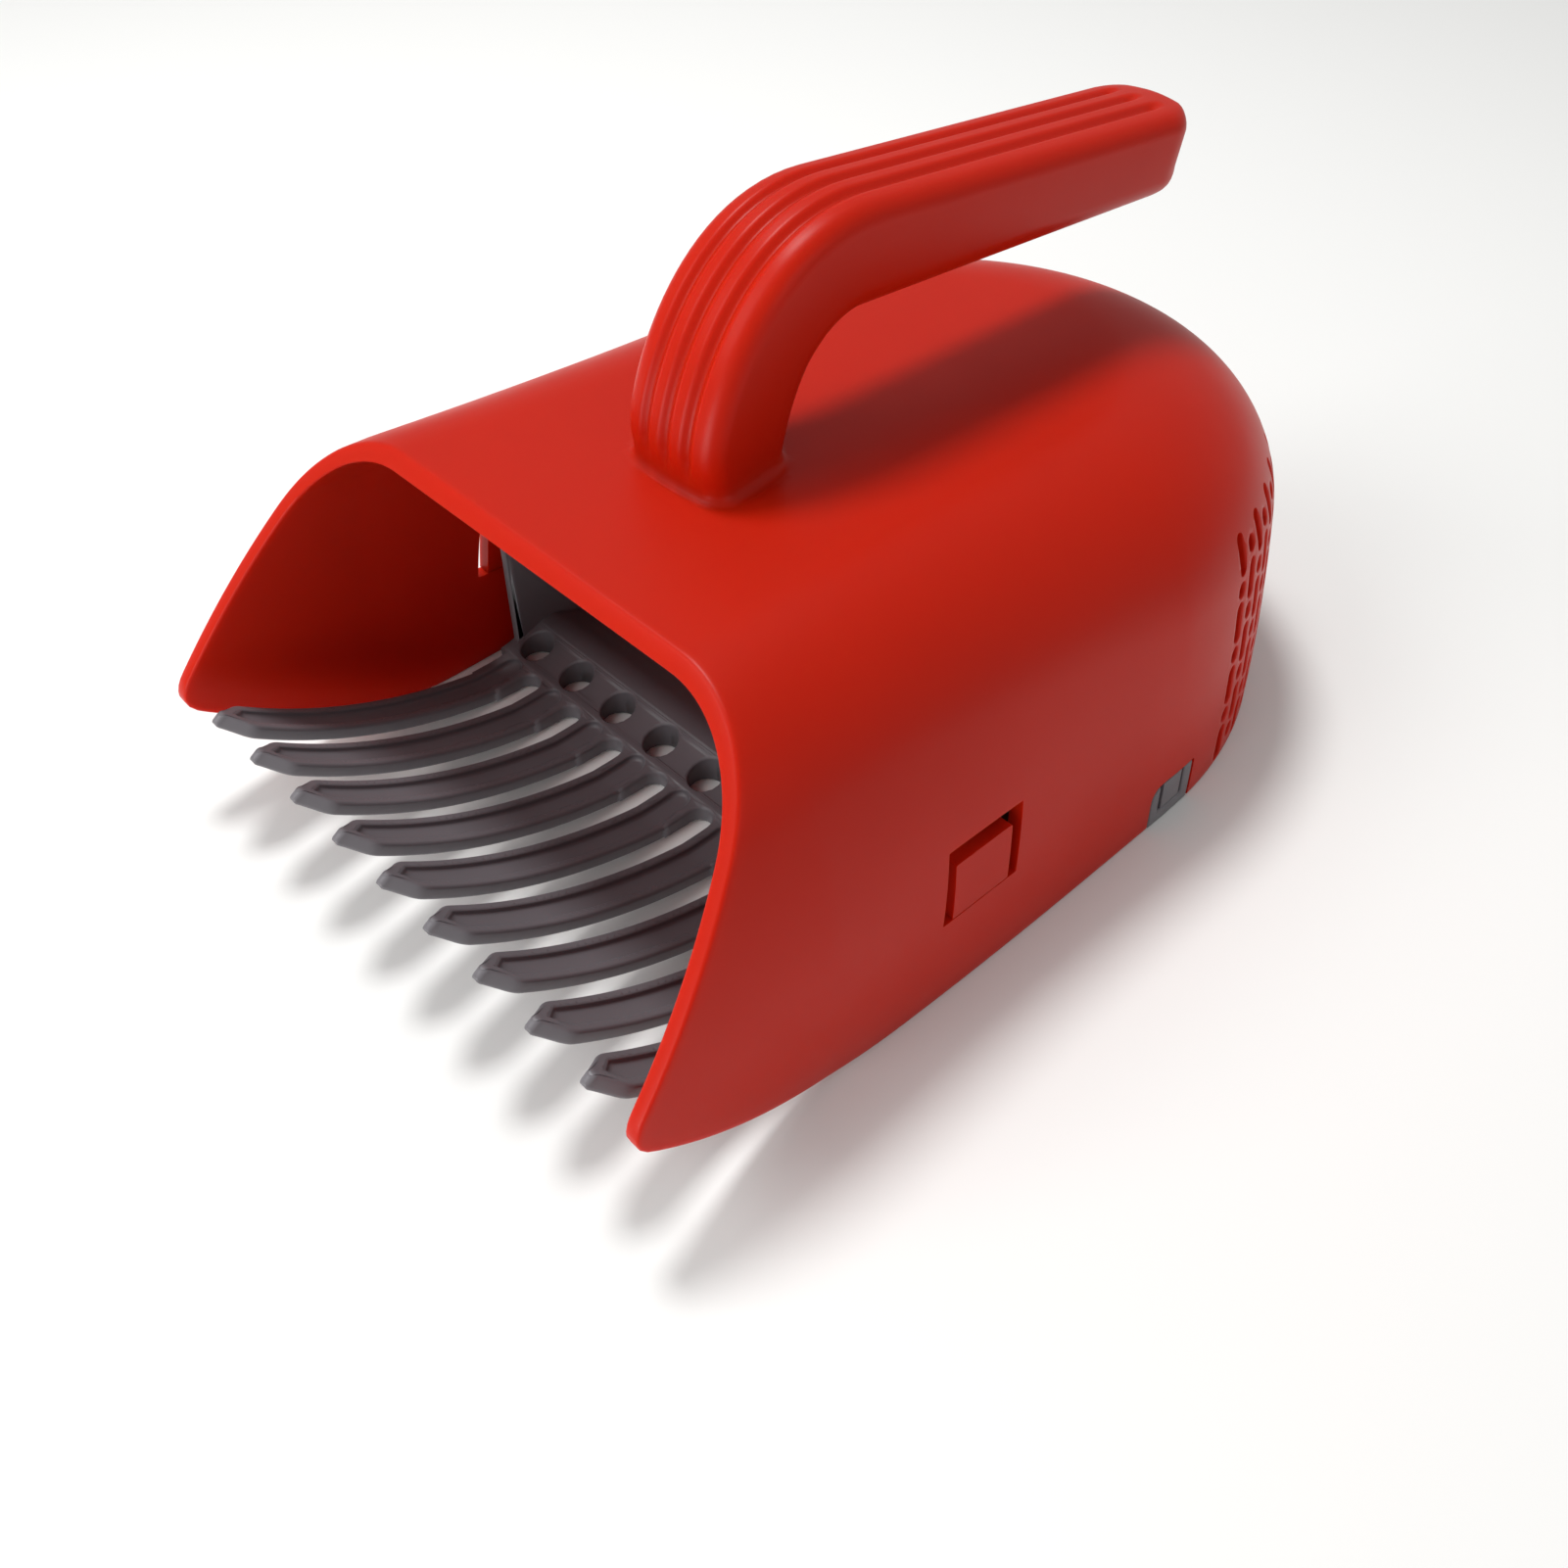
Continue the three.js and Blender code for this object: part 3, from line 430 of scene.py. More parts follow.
def half_skin(name, inset):
    """The right half of the outside, or of the inside when it is inset by the wall."""
    front = front_line(AROUND, inset)
    bottom = bottom_line(ALONG, inset)
    last_run = bottom[-1][1]
    rear_depth_share = (REAR_DEPTH - inset) / (REAR_REACH - inset)

    def place(row, column):
        if row <= ALONG:
            by_roof = row / ALONG
            by_foot = (bottom[row][0] - bottom[0][0]) / (REAR_CENTRE - bottom[0][0])
            share = mixed(by_roof, by_foot, column / AROUND)
            y = mixed(front[column][0], REAR_CENTRE, share)
            run = bottom[row][1] * mixed(front[column][1] / front[-1][1], column / AROUND, share)
            return on_wall(run, y, inset)
        angle = math.pi / 2 * (row - ALONG) / REAR_FAN
        x, z = across_and_up(last_run * column / AROUND, REAR_CENTRE, inset)
        y = REAR_CENTRE + x * rear_depth_share * math.sin(angle)
        x = 0 if row == ALONG + REAR_FAN else x * math.cos(angle)
        return x, y, z * roof_share(y)

    return grid_of(name, ALONG + REAR_FAN, AROUND, place)


def whole_skin(name, inset):
    """Both halves, closed along the middle and at the pole on the roof."""
    skin = half_skin(name, inset)
    finish_with(skin, "MIRROR", use_axis=(True, False, False), use_mirror_merge=True,
                merge_threshold=0.01 * MM)
    finish_with(skin, "WELD", merge_threshold=0.01 * MM)
    return skin


hood = joined([whole_skin("hood_moulding", 0), whole_skin("hood_inside", HOOD_WALL)])
only(hood)
bpy.ops.object.mode_set(mode="EDIT")
bpy.ops.mesh.select_mode(type="EDGE")
bpy.ops.mesh.select_all(action="DESELECT")
bpy.ops.mesh.select_non_manifold(extend=False)
bpy.ops.mesh.bridge_edge_loops()
bpy.ops.mesh.select_all(action="SELECT")
bpy.ops.mesh.normals_make_consistent(inside=False)
bpy.ops.object.mode_set(mode="OBJECT")
print("hood skin faces", len(hood.data.polygons))

# %% [markdown]
# A mould leaves no knife edges: the rim and the underside are rounded by a little over half a
# millimetre, which is what catches the light along the mouth. A bevel that only acts on sharp edges
# does this.

# %% Round the rim and the lower edge
RIM_ROUNDING = 0.65
SHARP_ANGLE = math.radians(38)
finish_with(hood, "BEVEL", width=RIM_ROUNDING * MM, segments=3, limit_method="ANGLE",
            angle_limit=SHARP_ANGLE, use_clamp_overlap=False, miter_outer="MITER_ARC")
print("hood faces with rounded edges", len(hood.data.polygons))

# %% [markdown]
# The handle is moulded in one with the hood. It rises from the roof, bends back and runs out over
# it. Its outer face is broad and nearly flat with three shallow grooves, its flanks draw in towards
# a narrower, well rounded underside, and its end is cut off at a slant. It is a loft: a section
# whose outer and inner edges follow two side curves, each a line, a bend and a line.

# %% Side curves of the handle
HANDLE_FRONT = 23.2
HANDLE_BASE = HOOD_HEIGHT * roof_share(HANDLE_FRONT)
HANDLE_WIDTH, FOOT_WIDTH = 24.2, 25
OUTER_EDGE = [(2.4, -1.9), (1.2, 6), (0.6, 14), (12.5, 46.4), (44, 43.3), (137, 33.5)]
INNER_EDGE = [(22.3, -1.9), (25.2, 6.5), (27.8, 15), (35.2, 21.8), (43, 21.2), (138.5, 13.9)]
EDGE_SHARES = (0.14, 0.52)


def edge_point(corners, share):
    """A point on a line, a bend and a line, by its share of the way along them."""
    foot, bend_start, lift, pull, bend_end, end = [Vector(c) for c in corners]
    if share < EDGE_SHARES[0]:
        return foot.lerp(bend_start, share / EDGE_SHARES[0])
    if share < EDGE_SHARES[1]:
        way = (share - EDGE_SHARES[0]) / (EDGE_SHARES[1] - EDGE_SHARES[0])
        return bezier([bend_start, lift, pull, bend_end], way)
    return bend_end.lerp(end, (share - EDGE_SHARES[1]) / (1 - EDGE_SHARES[1]))


print("handle base height mm", round(HANDLE_BASE, 2))

# %% [markdown]
# Half of the section is listed, from the middle of the outer face round to the middle of the inner
# one, and the rest is its mirror image. Each point hangs on the outer or on the inner edge, so that
# the section stretches where the handle is thicker. The fillet at the foot, the grooves and the
# rounded end are worked into the rings, so that no bevel or boolean is needed for them.

# %% Section of the handle
OUTER_ROUNDING, INNER_ROUNDING = 4, 6.5
FACE_CROWN = 0.5
FLANK_DRAFT = 1.9
GROOVE_SPACING, GROOVE_WIDTH, GROOVE_DEPTH = 5.5, 3.7, 1.15
GROOVE_START_HEIGHT, GROOVE_END_GAP, NEAR_END_SHARE = 3, 7.5, 0.6
GROOVE_FADE_UP, GROOVE_FADE_END = 3, 2.5
FOOT_FILLET = 2.4
END_PLAN_ROUNDING, END_TOP_ROUNDING, END_FOOT_ROUNDING = 9.5, 3, 5.5


def handle_section():
    """Half of the section, outer face to inner face: (across, which edge, depth)."""
    half = HANDLE_WIDTH / 2
    flat = half - OUTER_ROUNDING
    face_steps, outer_steps, inner_steps = 20, 6, 8
    points = [(flat * i / face_steps, "outer", FACE_CROWN * (i / face_steps) ** 2)
              for i in range(face_steps + 1)]
    for i in range(1, outer_steps + 1):
        angle = math.pi / 2 * i / outer_steps
        points.append((flat + OUTER_ROUNDING * math.sin(angle), "outer",
                       FACE_CROWN + OUTER_ROUNDING * (1 - math.cos(angle))))
    under_steps = 4
    low_flat = half - FLANK_DRAFT - INNER_ROUNDING
    for i in range(inner_steps + 1):
        angle = math.pi / 2 * (1 - i / inner_steps)
        points.append((low_flat + INNER_ROUNDING * math.sin(angle), "inner",
                       INNER_ROUNDING * (1 - math.cos(angle))))
    points += [(low_flat * (1 - i / under_steps), "inner", 0) for i in range(1, under_steps + 1)]
    return points


half_handle = handle_section()
ROUND_HANDLE = half_handle + [(-x, edge, depth) for x, edge, depth in reversed(half_handle[1:-1])]


def ring_shares():
    """Shares along the edges at which the loft has a ring: close at the foot, bend and end."""
    up_the_stem = (0, 0.115, 0.12, 0.13, 0.15, 0.18, 0.22, 0.27, 0.33, 0.45, 0.7)
    to_the_end = (0.052, 0.045, 0.038, 0.031, 0.025, 0.019, 0.014, 0.0095, 0.006, 0.003, 0.001, 0)
    bend_rings, arm_rings, arm_end = 28, 14, 0.94
    stem = [EDGE_SHARES[0] * s for s in up_the_stem]
    bend = [mixed(*EDGE_SHARES, i / bend_rings) for i in range(bend_rings)]
    arm = [mixed(EDGE_SHARES[1], arm_end, i / arm_rings) for i in range(arm_rings + 1)]
    return stem + bend + arm + [1 - s for s in to_the_end]


def smooth_step(share):
    """Goes from 0 to 1 without a corner at either end."""
    share = min(max(share, 0), 1)
    return share * share * (3 - 2 * share)


def rounded_off(distance, radius):
    """How far a rounded end has drawn in at a distance from its face."""
    gap = max(radius - distance, 0)
    return radius - math.sqrt(max(radius ** 2 - gap ** 2, 0))


HANDLE_SHARES = ring_shares()


def handle_groove(across, height, to_end, share):
    """Depth of the three grooves in the outer face, which fade out at the foot and the end."""
    off = abs(across - GROOVE_SPACING * round(across / GROOVE_SPACING))
    if abs(across) >= GROOVE_SPACING * 3 / 2 or off >= GROOVE_WIDTH / 2:
        return 0
    depth = GROOVE_DEPTH / 2 * (1 + math.cos(2 * math.pi * off / GROOVE_WIDTH))
    at_foot = (height - GROOVE_START_HEIGHT) / GROOVE_FADE_UP
    at_end = (to_end - GROOVE_END_GAP) / GROOVE_FADE_END if share > NEAR_END_SHARE else 1
    return depth * smooth_step(at_foot) * smooth_step(at_end)


def handle_point(ring, around):
    """The place of one point of the loft: on its edge, drawn in by its depth and the end."""
    share = HANDLE_SHARES[ring]
    across, edge, depth = ROUND_HANDLE[around % len(ROUND_HANDLE)]
    outer, inner = edge_point(OUTER_EDGE, share), edge_point(INNER_EDGE, share)
    inward = (inner - outer).normalized()
    to_end = END_PLAN_ROUNDING
    if share > EDGE_SHARES[1]:
        to_end = (outer - Vector(OUTER_EDGE[-1])).length
    height = outer.y + ROOF_FALL * outer.x
    if edge == "outer":
        groove = handle_groove(across, height, to_end, share)
        at = outer + inward * (depth + groove + rounded_off(to_end, END_TOP_ROUNDING))
    else:
        at = inner - inward * (depth + rounded_off(to_end, END_FOOT_ROUNDING))
    narrow = 1 - rounded_off(to_end, END_PLAN_ROUNDING) / (HANDLE_WIDTH / 2)
    stem = max(0, 1 - max(height, 0) / HANDLE_WIDTH)
    x, y, z = across * narrow * mixed(1, FOOT_WIDTH / HANDLE_WIDTH, stem), at.x, at.y
    flare = rounded_off(max(height, 0), FOOT_FILLET)
    if flare > 0:
        middle = (outer.x + inner.x) / 2
        way = Vector((x, y - middle)).normalized()
        x, y = x + way.x * flare, y + way.y * flare
    z -= ROOF_FALL * y * stem
    return x, HANDLE_FRONT + y, HANDLE_BASE + z


handle = grid_of("handle_arm", len(HANDLE_SHARES) - 1, len(ROUND_HANDLE), handle_point)
finish_with(handle, "WELD", merge_threshold=0.002 * MM)
closed(handle)
print("handle faces", len(handle.data.polygons))
cut(hood, handle, "UNION")
print("hood with handle faces", len(hood.data.polygons))

# %% [markdown]
# Each side wall has a window with a springy tongue in it. The tongue is the same wall, cut free on
# three sides, so it is cut out of a copy of the moulding. It gets a ledge inside its upper edge
# that holds the tray. Both outlines lean a little towards the rear, as in the picture, and the
# tongue's foot stands 0.25 mm over the sill, which is the room that it needs to bend. The hood then
# gets the window, and a notch for the grey tab at its lower edge.

# %% Side catches and their windows
CATCH_MIDDLE = 34.65
TONGUE_CORNERS = [(-8.4, 22.72, 0), (7.2, 21.98, 0), (8.6, 34.1, 0.4), (-7.2, 35, 0.4)]
WINDOW_CORNERS = [(-11.1, 22.6, 0.4), (9.8, 21.6, 0.4), (11.8, 37.7, 0.3), (-8.9, 39, 0.3)]
LEDGE_HALF, LEDGE_FOOT, LEDGE_TOP, LEDGE_ROUNDING, LEDGE_DEPTH = 4.5, 31.5, 34.1, 0.5, 4
CUTTER_REACH = (55, 90)
CORNER_STEPS = 6


def prism(name, corners, reach):
    """A plate with rounded corners, from its (y, z, rounding) outline, stretched along x."""
    outline = []
    for i, (y, z, rounding) in enumerate(corners):
        corner = Vector((y, z))
        before, after = Vector(corners[i - 1][:2]), Vector(corners[(i + 1) % len(corners)][:2])
        start = corner + (before - corner).normalized() * rounding
        end = corner + (after - corner).normalized() * rounding
        steps = CORNER_STEPS if rounding else 0
        outline += [bezier([start, corner, end], i / max(steps, 1)) for i in range(steps + 1)]

    def place(around, side):
        y, z = outline[around % len(outline)]
        return reach[side], y, z

    plate = grid_of(name, len(outline), 1, place)
    return closed(finish_with(plate, "WELD", merge_threshold=0.001 * MM))


def at_catch(corners):
    """Corners given from the middle of the catch, moved to its place along the wall."""
    return [(CATCH_MIDDLE + y, z, rounding) for y, z, rounding in corners]


def oblong(front, rear, foot, top, rounding=0):
    """The four corners of an upright outline, between two y values and two heights."""
    return [(front, foot, rounding), (rear, foot, rounding),
            (rear, top, rounding), (front, top, rounding)]


def mirrored(piece, name):
    """A copy of a piece for the other side of the rake."""
    twin = copy_of(piece, name)
    only(twin)
    bpy.ops.object.mode_set(mode="EDIT")
    bpy.ops.mesh.select_all(action="SELECT")
    bpy.ops.transform.resize(value=(-1, 1, 1), center_override=(0, 0, 0))
    bpy.ops.mesh.normals_make_consistent(inside=False)
    bpy.ops.object.mode_set(mode="OBJECT")
    return twin


catch_right = copy_of(hood, "side_catch_right_tongue")
cut(catch_right, prism("tongue", at_catch(TONGUE_CORNERS), CUTTER_REACH), "INTERSECT")
low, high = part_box("side_catch_right")
ledge_outline = at_catch(oblong(-LEDGE_HALF, LEDGE_HALF, LEDGE_FOOT, LEDGE_TOP, LEDGE_ROUNDING))
ledge = prism("ledge", ledge_outline, (low.x / MM, low.x / MM + LEDGE_DEPTH))
cut(catch_right, ledge, "UNION")
catch_left = mirrored(catch_right, "side_catch_left_tongue")

window = prism("window", at_catch(WINDOW_CORNERS), CUTTER_REACH)
TAB_FRONT, TAB_REAR, TAB_TOP, TAB_CORNER = 89.8, 104.8, 11.1, 4
notch = prism("notch", [(TAB_FRONT, -5, 0), (TAB_REAR, -5, 0), (TAB_REAR, TAB_TOP, 0.8),
                        (TAB_FRONT, TAB_TOP, TAB_CORNER)], CUTTER_REACH)
openings = joined([window, notch])
openings_left = mirrored(openings, "openings_left")
cut(hood, joined([openings, openings_left]))
print("catch faces", len(catch_right.data.polygons), "hood faces", len(hood.data.polygons))

# %% [markdown]
# The rear wall is pierced by columns of slots, long ones and short ones in turn, and every second
# column is staggered. They let dust and water out. One long and one short cutter are made, each
# flaring at the outer face so that the slot gets a rounded lip, and copies of them stand square to
# the wall all the way round.

# %% Ventilation slots
SLOT_WIDTH = 2.8
LONG_SLOT, SHORT_SLOT = 9.8, 3.7
SLOT_RIB = 1.35
SLOT_TOP = 59.4
COLUMNS, SLOTS_PER_COLUMN = 39, 7
FIRST_COLUMN = math.radians(15)
LIP_ROUNDING = 0.55
SLOT_STEPS = 24


def slot_cutter(name, length):
    """A round-ended slot that points along z, its lip at z = 0, flaring outwards."""
    rings = [(-HOOD_WALL * 2, 0)]
    for angle in (0, 30, 55, 75, 90):
        turn = math.radians(angle)
        rings.append((LIP_ROUNDING * (math.sin(turn) - 1), LIP_ROUNDING * (1 - math.cos(turn))))
    rings.append((1, LIP_ROUNDING))
    straight = (length - SLOT_WIDTH) / 2
    last = len(rings) - 1
    bpy.ops.mesh.primitive_grid_add(x_subdivisions=SLOT_STEPS, y_subdivisions=last, size=1)
    piece = bpy.context.object
    piece.name = name
    for point in piece.data.vertices:
        angle = 2 * math.pi * (round((point.co.x + 1 / 2) * SLOT_STEPS) + 1 / 2) / SLOT_STEPS
        depth, wider = rings[round((point.co.y + 1 / 2) * last)]
        radius = SLOT_WIDTH / 2 + wider
        up = math.sin(angle) * radius + math.copysign(straight, math.sin(angle))
        point.co = (math.cos(angle) * radius * MM, up * MM, depth * MM)
    return closed(finish_with(piece, "WELD", merge_threshold=0.001 * MM))


def rear_point(angle, z):
    """The point, in metres, on the outside of the rear wall at an angle round it and a height."""
    y = REAR_CENTRE
    for _ in range(6):
        level = z * roof_share(REAR_CENTRE) / roof_share(y)
        x = across_and_up(run_at(level, REAR_CENTRE, 0), REAR_CENTRE, 0)[0]
        y = REAR_CENTRE + x * REAR_DEPTH / REAR_REACH * math.sin(angle)
    return Vector((x * math.cos(angle), y + MOULD_SHIFT, z)) * MM


def standing_on_rear(angle, z):
    """The matrix that turns a cutter square to the rear wall and moves it there."""
    small = 0.01
    at = rear_point(angle, z)
    along = (rear_point(angle + small, z) - rear_point(angle - small, z)).normalized()
    up = (rear_point(angle, z + 1) - rear_point(angle, z - 1)).normalized()
    out = along.cross(up).normalized()
    along = up.cross(out)
    return Matrix.Translation(at) @ Matrix((along, up, out)).transposed().to_4x4()


def column_angles():
    """Angles at even spacing along the rear wall."""
    fine_steps = 400
    angles = np.linspace(FIRST_COLUMN, math.pi - FIRST_COLUMN, fine_steps)
    speeds = np.hypot(REAR_REACH * np.sin(angles), REAR_DEPTH * np.cos(angles))
    lengths = np.concatenate([[0], np.cumsum((speeds[1:] + speeds[:-1]) / 2)])
    return np.interp(np.linspace(0, lengths[-1], COLUMNS), lengths, angles)


long_cutter = slot_cutter("long_slot", LONG_SLOT)
short_cutter = slot_cutter("short_slot", SHORT_SLOT)
heights = {long_cutter: LONG_SLOT, short_cutter: SHORT_SLOT}
ribs_height = (SLOTS_PER_COLUMN - 1) * SLOT_RIB
column_height = 4 * LONG_SLOT + 3 * SHORT_SLOT + ribs_height
slots = []
for number, angle in enumerate(column_angles()):
    pair = [long_cutter, short_cutter] if number % 2 == 0 else [short_cutter, long_cutter]
    kinds = (pair * SLOTS_PER_COLUMN)[:SLOTS_PER_COLUMN]
    top = SLOT_TOP - (column_height - sum(heights[k] for k in kinds) - ribs_height) / 2
    for kind in kinds:
        slot = copy_of(kind, "slot")
        slot.data.transform(standing_on_rear(float(angle), top - heights[kind] / 2))
        slots.append(slot)
        top -= heights[kind] + SLOT_RIB
for kind in (long_cutter, short_cutter):
    bpy.data.objects.remove(kind)
print("slots", len(slots))
cut(hood, joined(slots))
print("hood faces", len(hood.data.polygons))

# %% [markdown]
# The comb tray is a second moulding, in dark grey polypropylene. Behind the ramp it is plain: the
# floor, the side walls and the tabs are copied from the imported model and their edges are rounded.
# The front is what the camera looks at, so the teeth and the ramp are shaped afresh.

# %% Sizes of the comb, in mould millimetres
TOOTH_COUNT, TOOTH_PITCH, TOOTH_WIDTH, TOOTH_THICKNESS = 9, 15, 9.3, 3.1
SWEEP_RADIUS, SWEEP_Y, SWEEP_Z = 121.2, 33, 123.1
NOSE_Y, NOSE_DEPTH, NOSE_DRAFT = -45.5, 5.8, 0.9
NOSE_ANGLE = math.asin((NOSE_Y - SWEEP_Y) / SWEEP_RADIUS)
TIP_ROUNDING_IN_PLAN, TIP_FULLNESS, CORNER_ROUNDING = 0.9, 0.45, 1.6
TIP_TOP_ROUNDING, TIP_FOOT_ROUNDING = 1.0, 1.3
TOOTH_EDGE, TOOTH_FOOT_EDGE = 0.7, 0.8
ROOT_Y = 21
VALLEY_Y, VALLEY_HEIGHT, RISE_RADIUS = 18.6, 3.35, 34
CREST_Y, CREST_WIDTH, RAMP_END_Y, FLOOR = 37.5, 8, 57, 3
TRAY_HALF = TOOTH_PITCH * (TOOTH_COUNT - 1) / 2 + 6.8
RAMP_STEPS = 16
tooth_middles = [TOOTH_PITCH * (i - (TOOTH_COUNT - 1) / 2) for i in range(TOOTH_COUNT)]
print("tooth middles mm", tooth_middles)

# %% [markdown]
# Seen from the side the upper face is one line: the teeth's arc, a shallow valley behind them, a
# rise, a rounded crest and a fall to the floor. Everything behind the teeth is three Bezier curves
# that meet without a corner. The cutters follow this line.

# %% Line of the ramp
def ramp_line():
    """The top of ramp and floor as (y, z): a parabola up, a crest, and an S down to the floor."""
    rise_end, fall_start = CREST_Y - CREST_WIDTH / 2, CREST_Y + CREST_WIDTH / 2
    crest = VALLEY_HEIGHT + (rise_end - VALLEY_Y) ** 2 / (2 * RISE_RADIUS)
    slope = 2 * (crest - VALLEY_HEIGHT) / (rise_end - VALLEY_Y)
    arm = slope * CREST_WIDTH / 2
    rise = [(VALLEY_Y, VALLEY_HEIGHT), ((VALLEY_Y + rise_end) / 2, VALLEY_HEIGHT),
            (rise_end, crest)]
    over = [(rise_end, crest), (CREST_Y, crest + arm), (fall_start, crest)]
    fall = [(fall_start, crest), (fall_start + CREST_WIDTH / 2, crest - arm),
            ((fall_start + RAMP_END_Y) / 2, FLOOR), (RAMP_END_Y, FLOOR)]
    return [bezier([Vector(p) for p in curve], i / RAMP_STEPS)
            for curve in (rise, over, fall) for i in range(RAMP_STEPS + 1)]


RAMP = ramp_line()
print("crest of the ramp mm", round(max(p.y for p in RAMP), 2))


def top_height(y):
    """The height of the comb's upper face at y: swept teeth, then valley, ramp and floor."""
    if y > VALLEY_Y:
        return float(np.interp(y, [p.x for p in RAMP], [p.y for p in RAMP]))
    return max(SWEEP_Z - math.sqrt(SWEEP_RADIUS ** 2 - (y - SWEEP_Y) ** 2), VALLEY_HEIGHT)


# %% [markdown]
# A tooth is a loft too: a strip with rounded edges, swept along an arc. Its rings stand close
# together at the nose, which grows in width from a small rounded tip to two soft corners and is
# rounded above and below. One tooth is made and copied for the nine places.

# %% Nine teeth
def tooth_section():
    """Half a tooth's section as (share of the half width, inset from the side, depth)."""
    top_steps, edge_steps, foot_steps, under_steps = 5, 6, 5, 3
    points = [(i / top_steps, 0, 0) for i in range(top_steps)]
    for i in range(edge_steps + 1):
        angle = math.pi / 2 * i / edge_steps
        points.append((1, TOOTH_EDGE * (1 - math.sin(angle)), TOOTH_EDGE * (1 - math.cos(angle))))
    for i in range(foot_steps + 1):
        angle = math.pi / 2 * i / foot_steps
        points.append((1, TOOTH_FOOT_EDGE * (1 - math.cos(angle)),
                       TOOTH_THICKNESS - TOOTH_FOOT_EDGE * (1 - math.sin(angle))))
    return points + [(1 - i / under_steps, 0, TOOTH_THICKNESS) for i in range(1, under_steps + 1)]


half_tooth = tooth_section()
ROUND_TOOTH = half_tooth + [(-share, inset, depth)
                            for share, inset, depth in reversed(half_tooth[1:-1])]
NOSE_RINGS = [0, 0.03, 0.12, 0.28, 0.5, 0.8, 1.2, 1.8, 2.6, 3.4, 4.2, 4.8, 5.2, 5.6, 6, 6.4, 6.9,
              7.6, 9]
TOOTH_LENGTH = (math.asin((ROOT_Y - SWEEP_Y) / SWEEP_RADIUS) - NOSE_ANGLE) * SWEEP_RADIUS
SHAFT_START, SHAFT_RINGS = 11, 34
TOOTH_RINGS = NOSE_RINGS + list(np.linspace(SHAFT_START, TOOTH_LENGTH, SHAFT_RINGS))


def nose_half_width(distance):
    """Half the tooth's width at a distance from its tip, with a rounded tip and rounded corners."""
    half, slope = TOOTH_WIDTH / 2, TOOTH_WIDTH / 2 / NOSE_DEPTH
    tip = TIP_ROUNDING_IN_PLAN
    tip_half = slope * tip + TIP_FULLNESS
    if distance < tip:
        return math.sqrt(max(0, tip ** 2 - (tip - distance) ** 2)) * tip_half / tip
    ahead = NOSE_DEPTH - CORNER_ROUNDING
    if distance < ahead:
        return mixed(tip_half, slope * ahead, (distance - tip) / (ahead - tip))
    way = min((distance - ahead) / (2 * CORNER_ROUNDING), 1)
    return bezier([Vector((0, slope * ahead)), Vector((0, half)), Vector((0, half))], way).y


def tooth_point(ring, around):
    """The place of one point of a tooth, at its ring's distance from the tip."""
    distance = TOOTH_RINGS[ring]
    share, inset, depth = ROUND_TOOTH[around % len(ROUND_TOOTH)]
    half = nose_half_width(distance)
    across = math.copysign(max(abs(share) * half - inset * min(1, half / 2), 0), share)
    middle_depth = TOOTH_THICKNESS / 2
    if depth < middle_depth:
        depth += rounded_off(distance, TIP_TOP_ROUNDING) * (1 - depth / middle_depth)
    else:
        depth -= rounded_off(distance, TIP_FOOT_ROUNDING) * (depth / middle_depth - 1)
    ahead = NOSE_DRAFT * depth / TOOTH_THICKNESS * max(0, 1 - distance / NOSE_RINGS[-1])
    angle = NOSE_ANGLE + (distance - ahead) / SWEEP_RADIUS
    radius = SWEEP_RADIUS + depth
    return across, SWEEP_Y + radius * math.sin(angle), max(SWEEP_Z - radius * math.cos(angle), 0)


def closed_loft(name, columns, rows, place):
    """A closed tube of rings. A negative volume would mean that its faces point inwards."""
    piece = grid_of(name, columns, rows, place)
    closed(finish_with(piece, "WELD", merge_threshold=0.002 * MM))
    if sum(f.center.dot(f.normal) * f.area for f in piece.data.polygons) < 0:
        bpy.ops.object.mode_set(mode="EDIT")
        bpy.ops.mesh.flip_normals()
        bpy.ops.object.mode_set(mode="OBJECT")
    return piece


def moved_copies(piece, shifts):
    """One object made of copies of a piece, each moved along x by so many millimetres."""
    copies = []
    for shift in shifts:
        copies.append(copy_of(piece, piece.name))
        copies[-1].data.transform(Matrix.Translation((shift * MM, 0, 0)))
    bpy.data.objects.remove(piece)
    return joined(copies)


tooth = closed_loft("tooth", len(TOOTH_RINGS) - 1, len(ROUND_TOOTH), tooth_point)
print("tooth faces", len(tooth.data.polygons))
teeth = moved_copies(tooth, tooth_middles)

# %% [markdown]
# The root bar, the ramp and the front of the floor are one slab with the ramp's line on top. An
# outline stretched sideways is all that it needs, so it is a prism.

# %% Slab of root, ramp and floor
ROOT_FRONT_Y, ROOT_FRONT_FOOT, OVERLAP_Y = 14.3, 0.3, 60
slab_corners = [(ROOT_FRONT_Y, ROOT_FRONT_FOOT, 0), (OVERLAP_Y, 0, 0), (OVERLAP_Y, FLOOR, 0)]
slab_corners += [(p.x, p.y, 0) for p in reversed(RAMP[1:-1])] + [(ROOT_FRONT_Y, VALLEY_HEIGHT, 0)]
comb = prism("comb_tray_moulding", slab_corners, (-TRAY_HALF, TRAY_HALF))
print("slab faces", len(comb.data.polygons))

# %% [markdown]
# Gaps, grooves and drains all have soft lips, so one kind of cutter serves for the three. It is a
# trough that follows the comb's upper face: its section is known by contours, each so far outside
# the outline and so deep. Where a contour has run out at a rounded end, its points slide up the
# middle instead. The walls slant by a hair, so that every offset has one depth of its own.

# %% A cutter with a soft lip
CLEAR_ABOVE, WALL_SLANT = 3, 0.04
ARC_STEPS, RING_SPACING = 5, 1.6
ROUND_END_SHARES, POINT_SHARES = (0, 0.4, 0.7, 0.87), (0.25, 0.5, 0.75, 1)


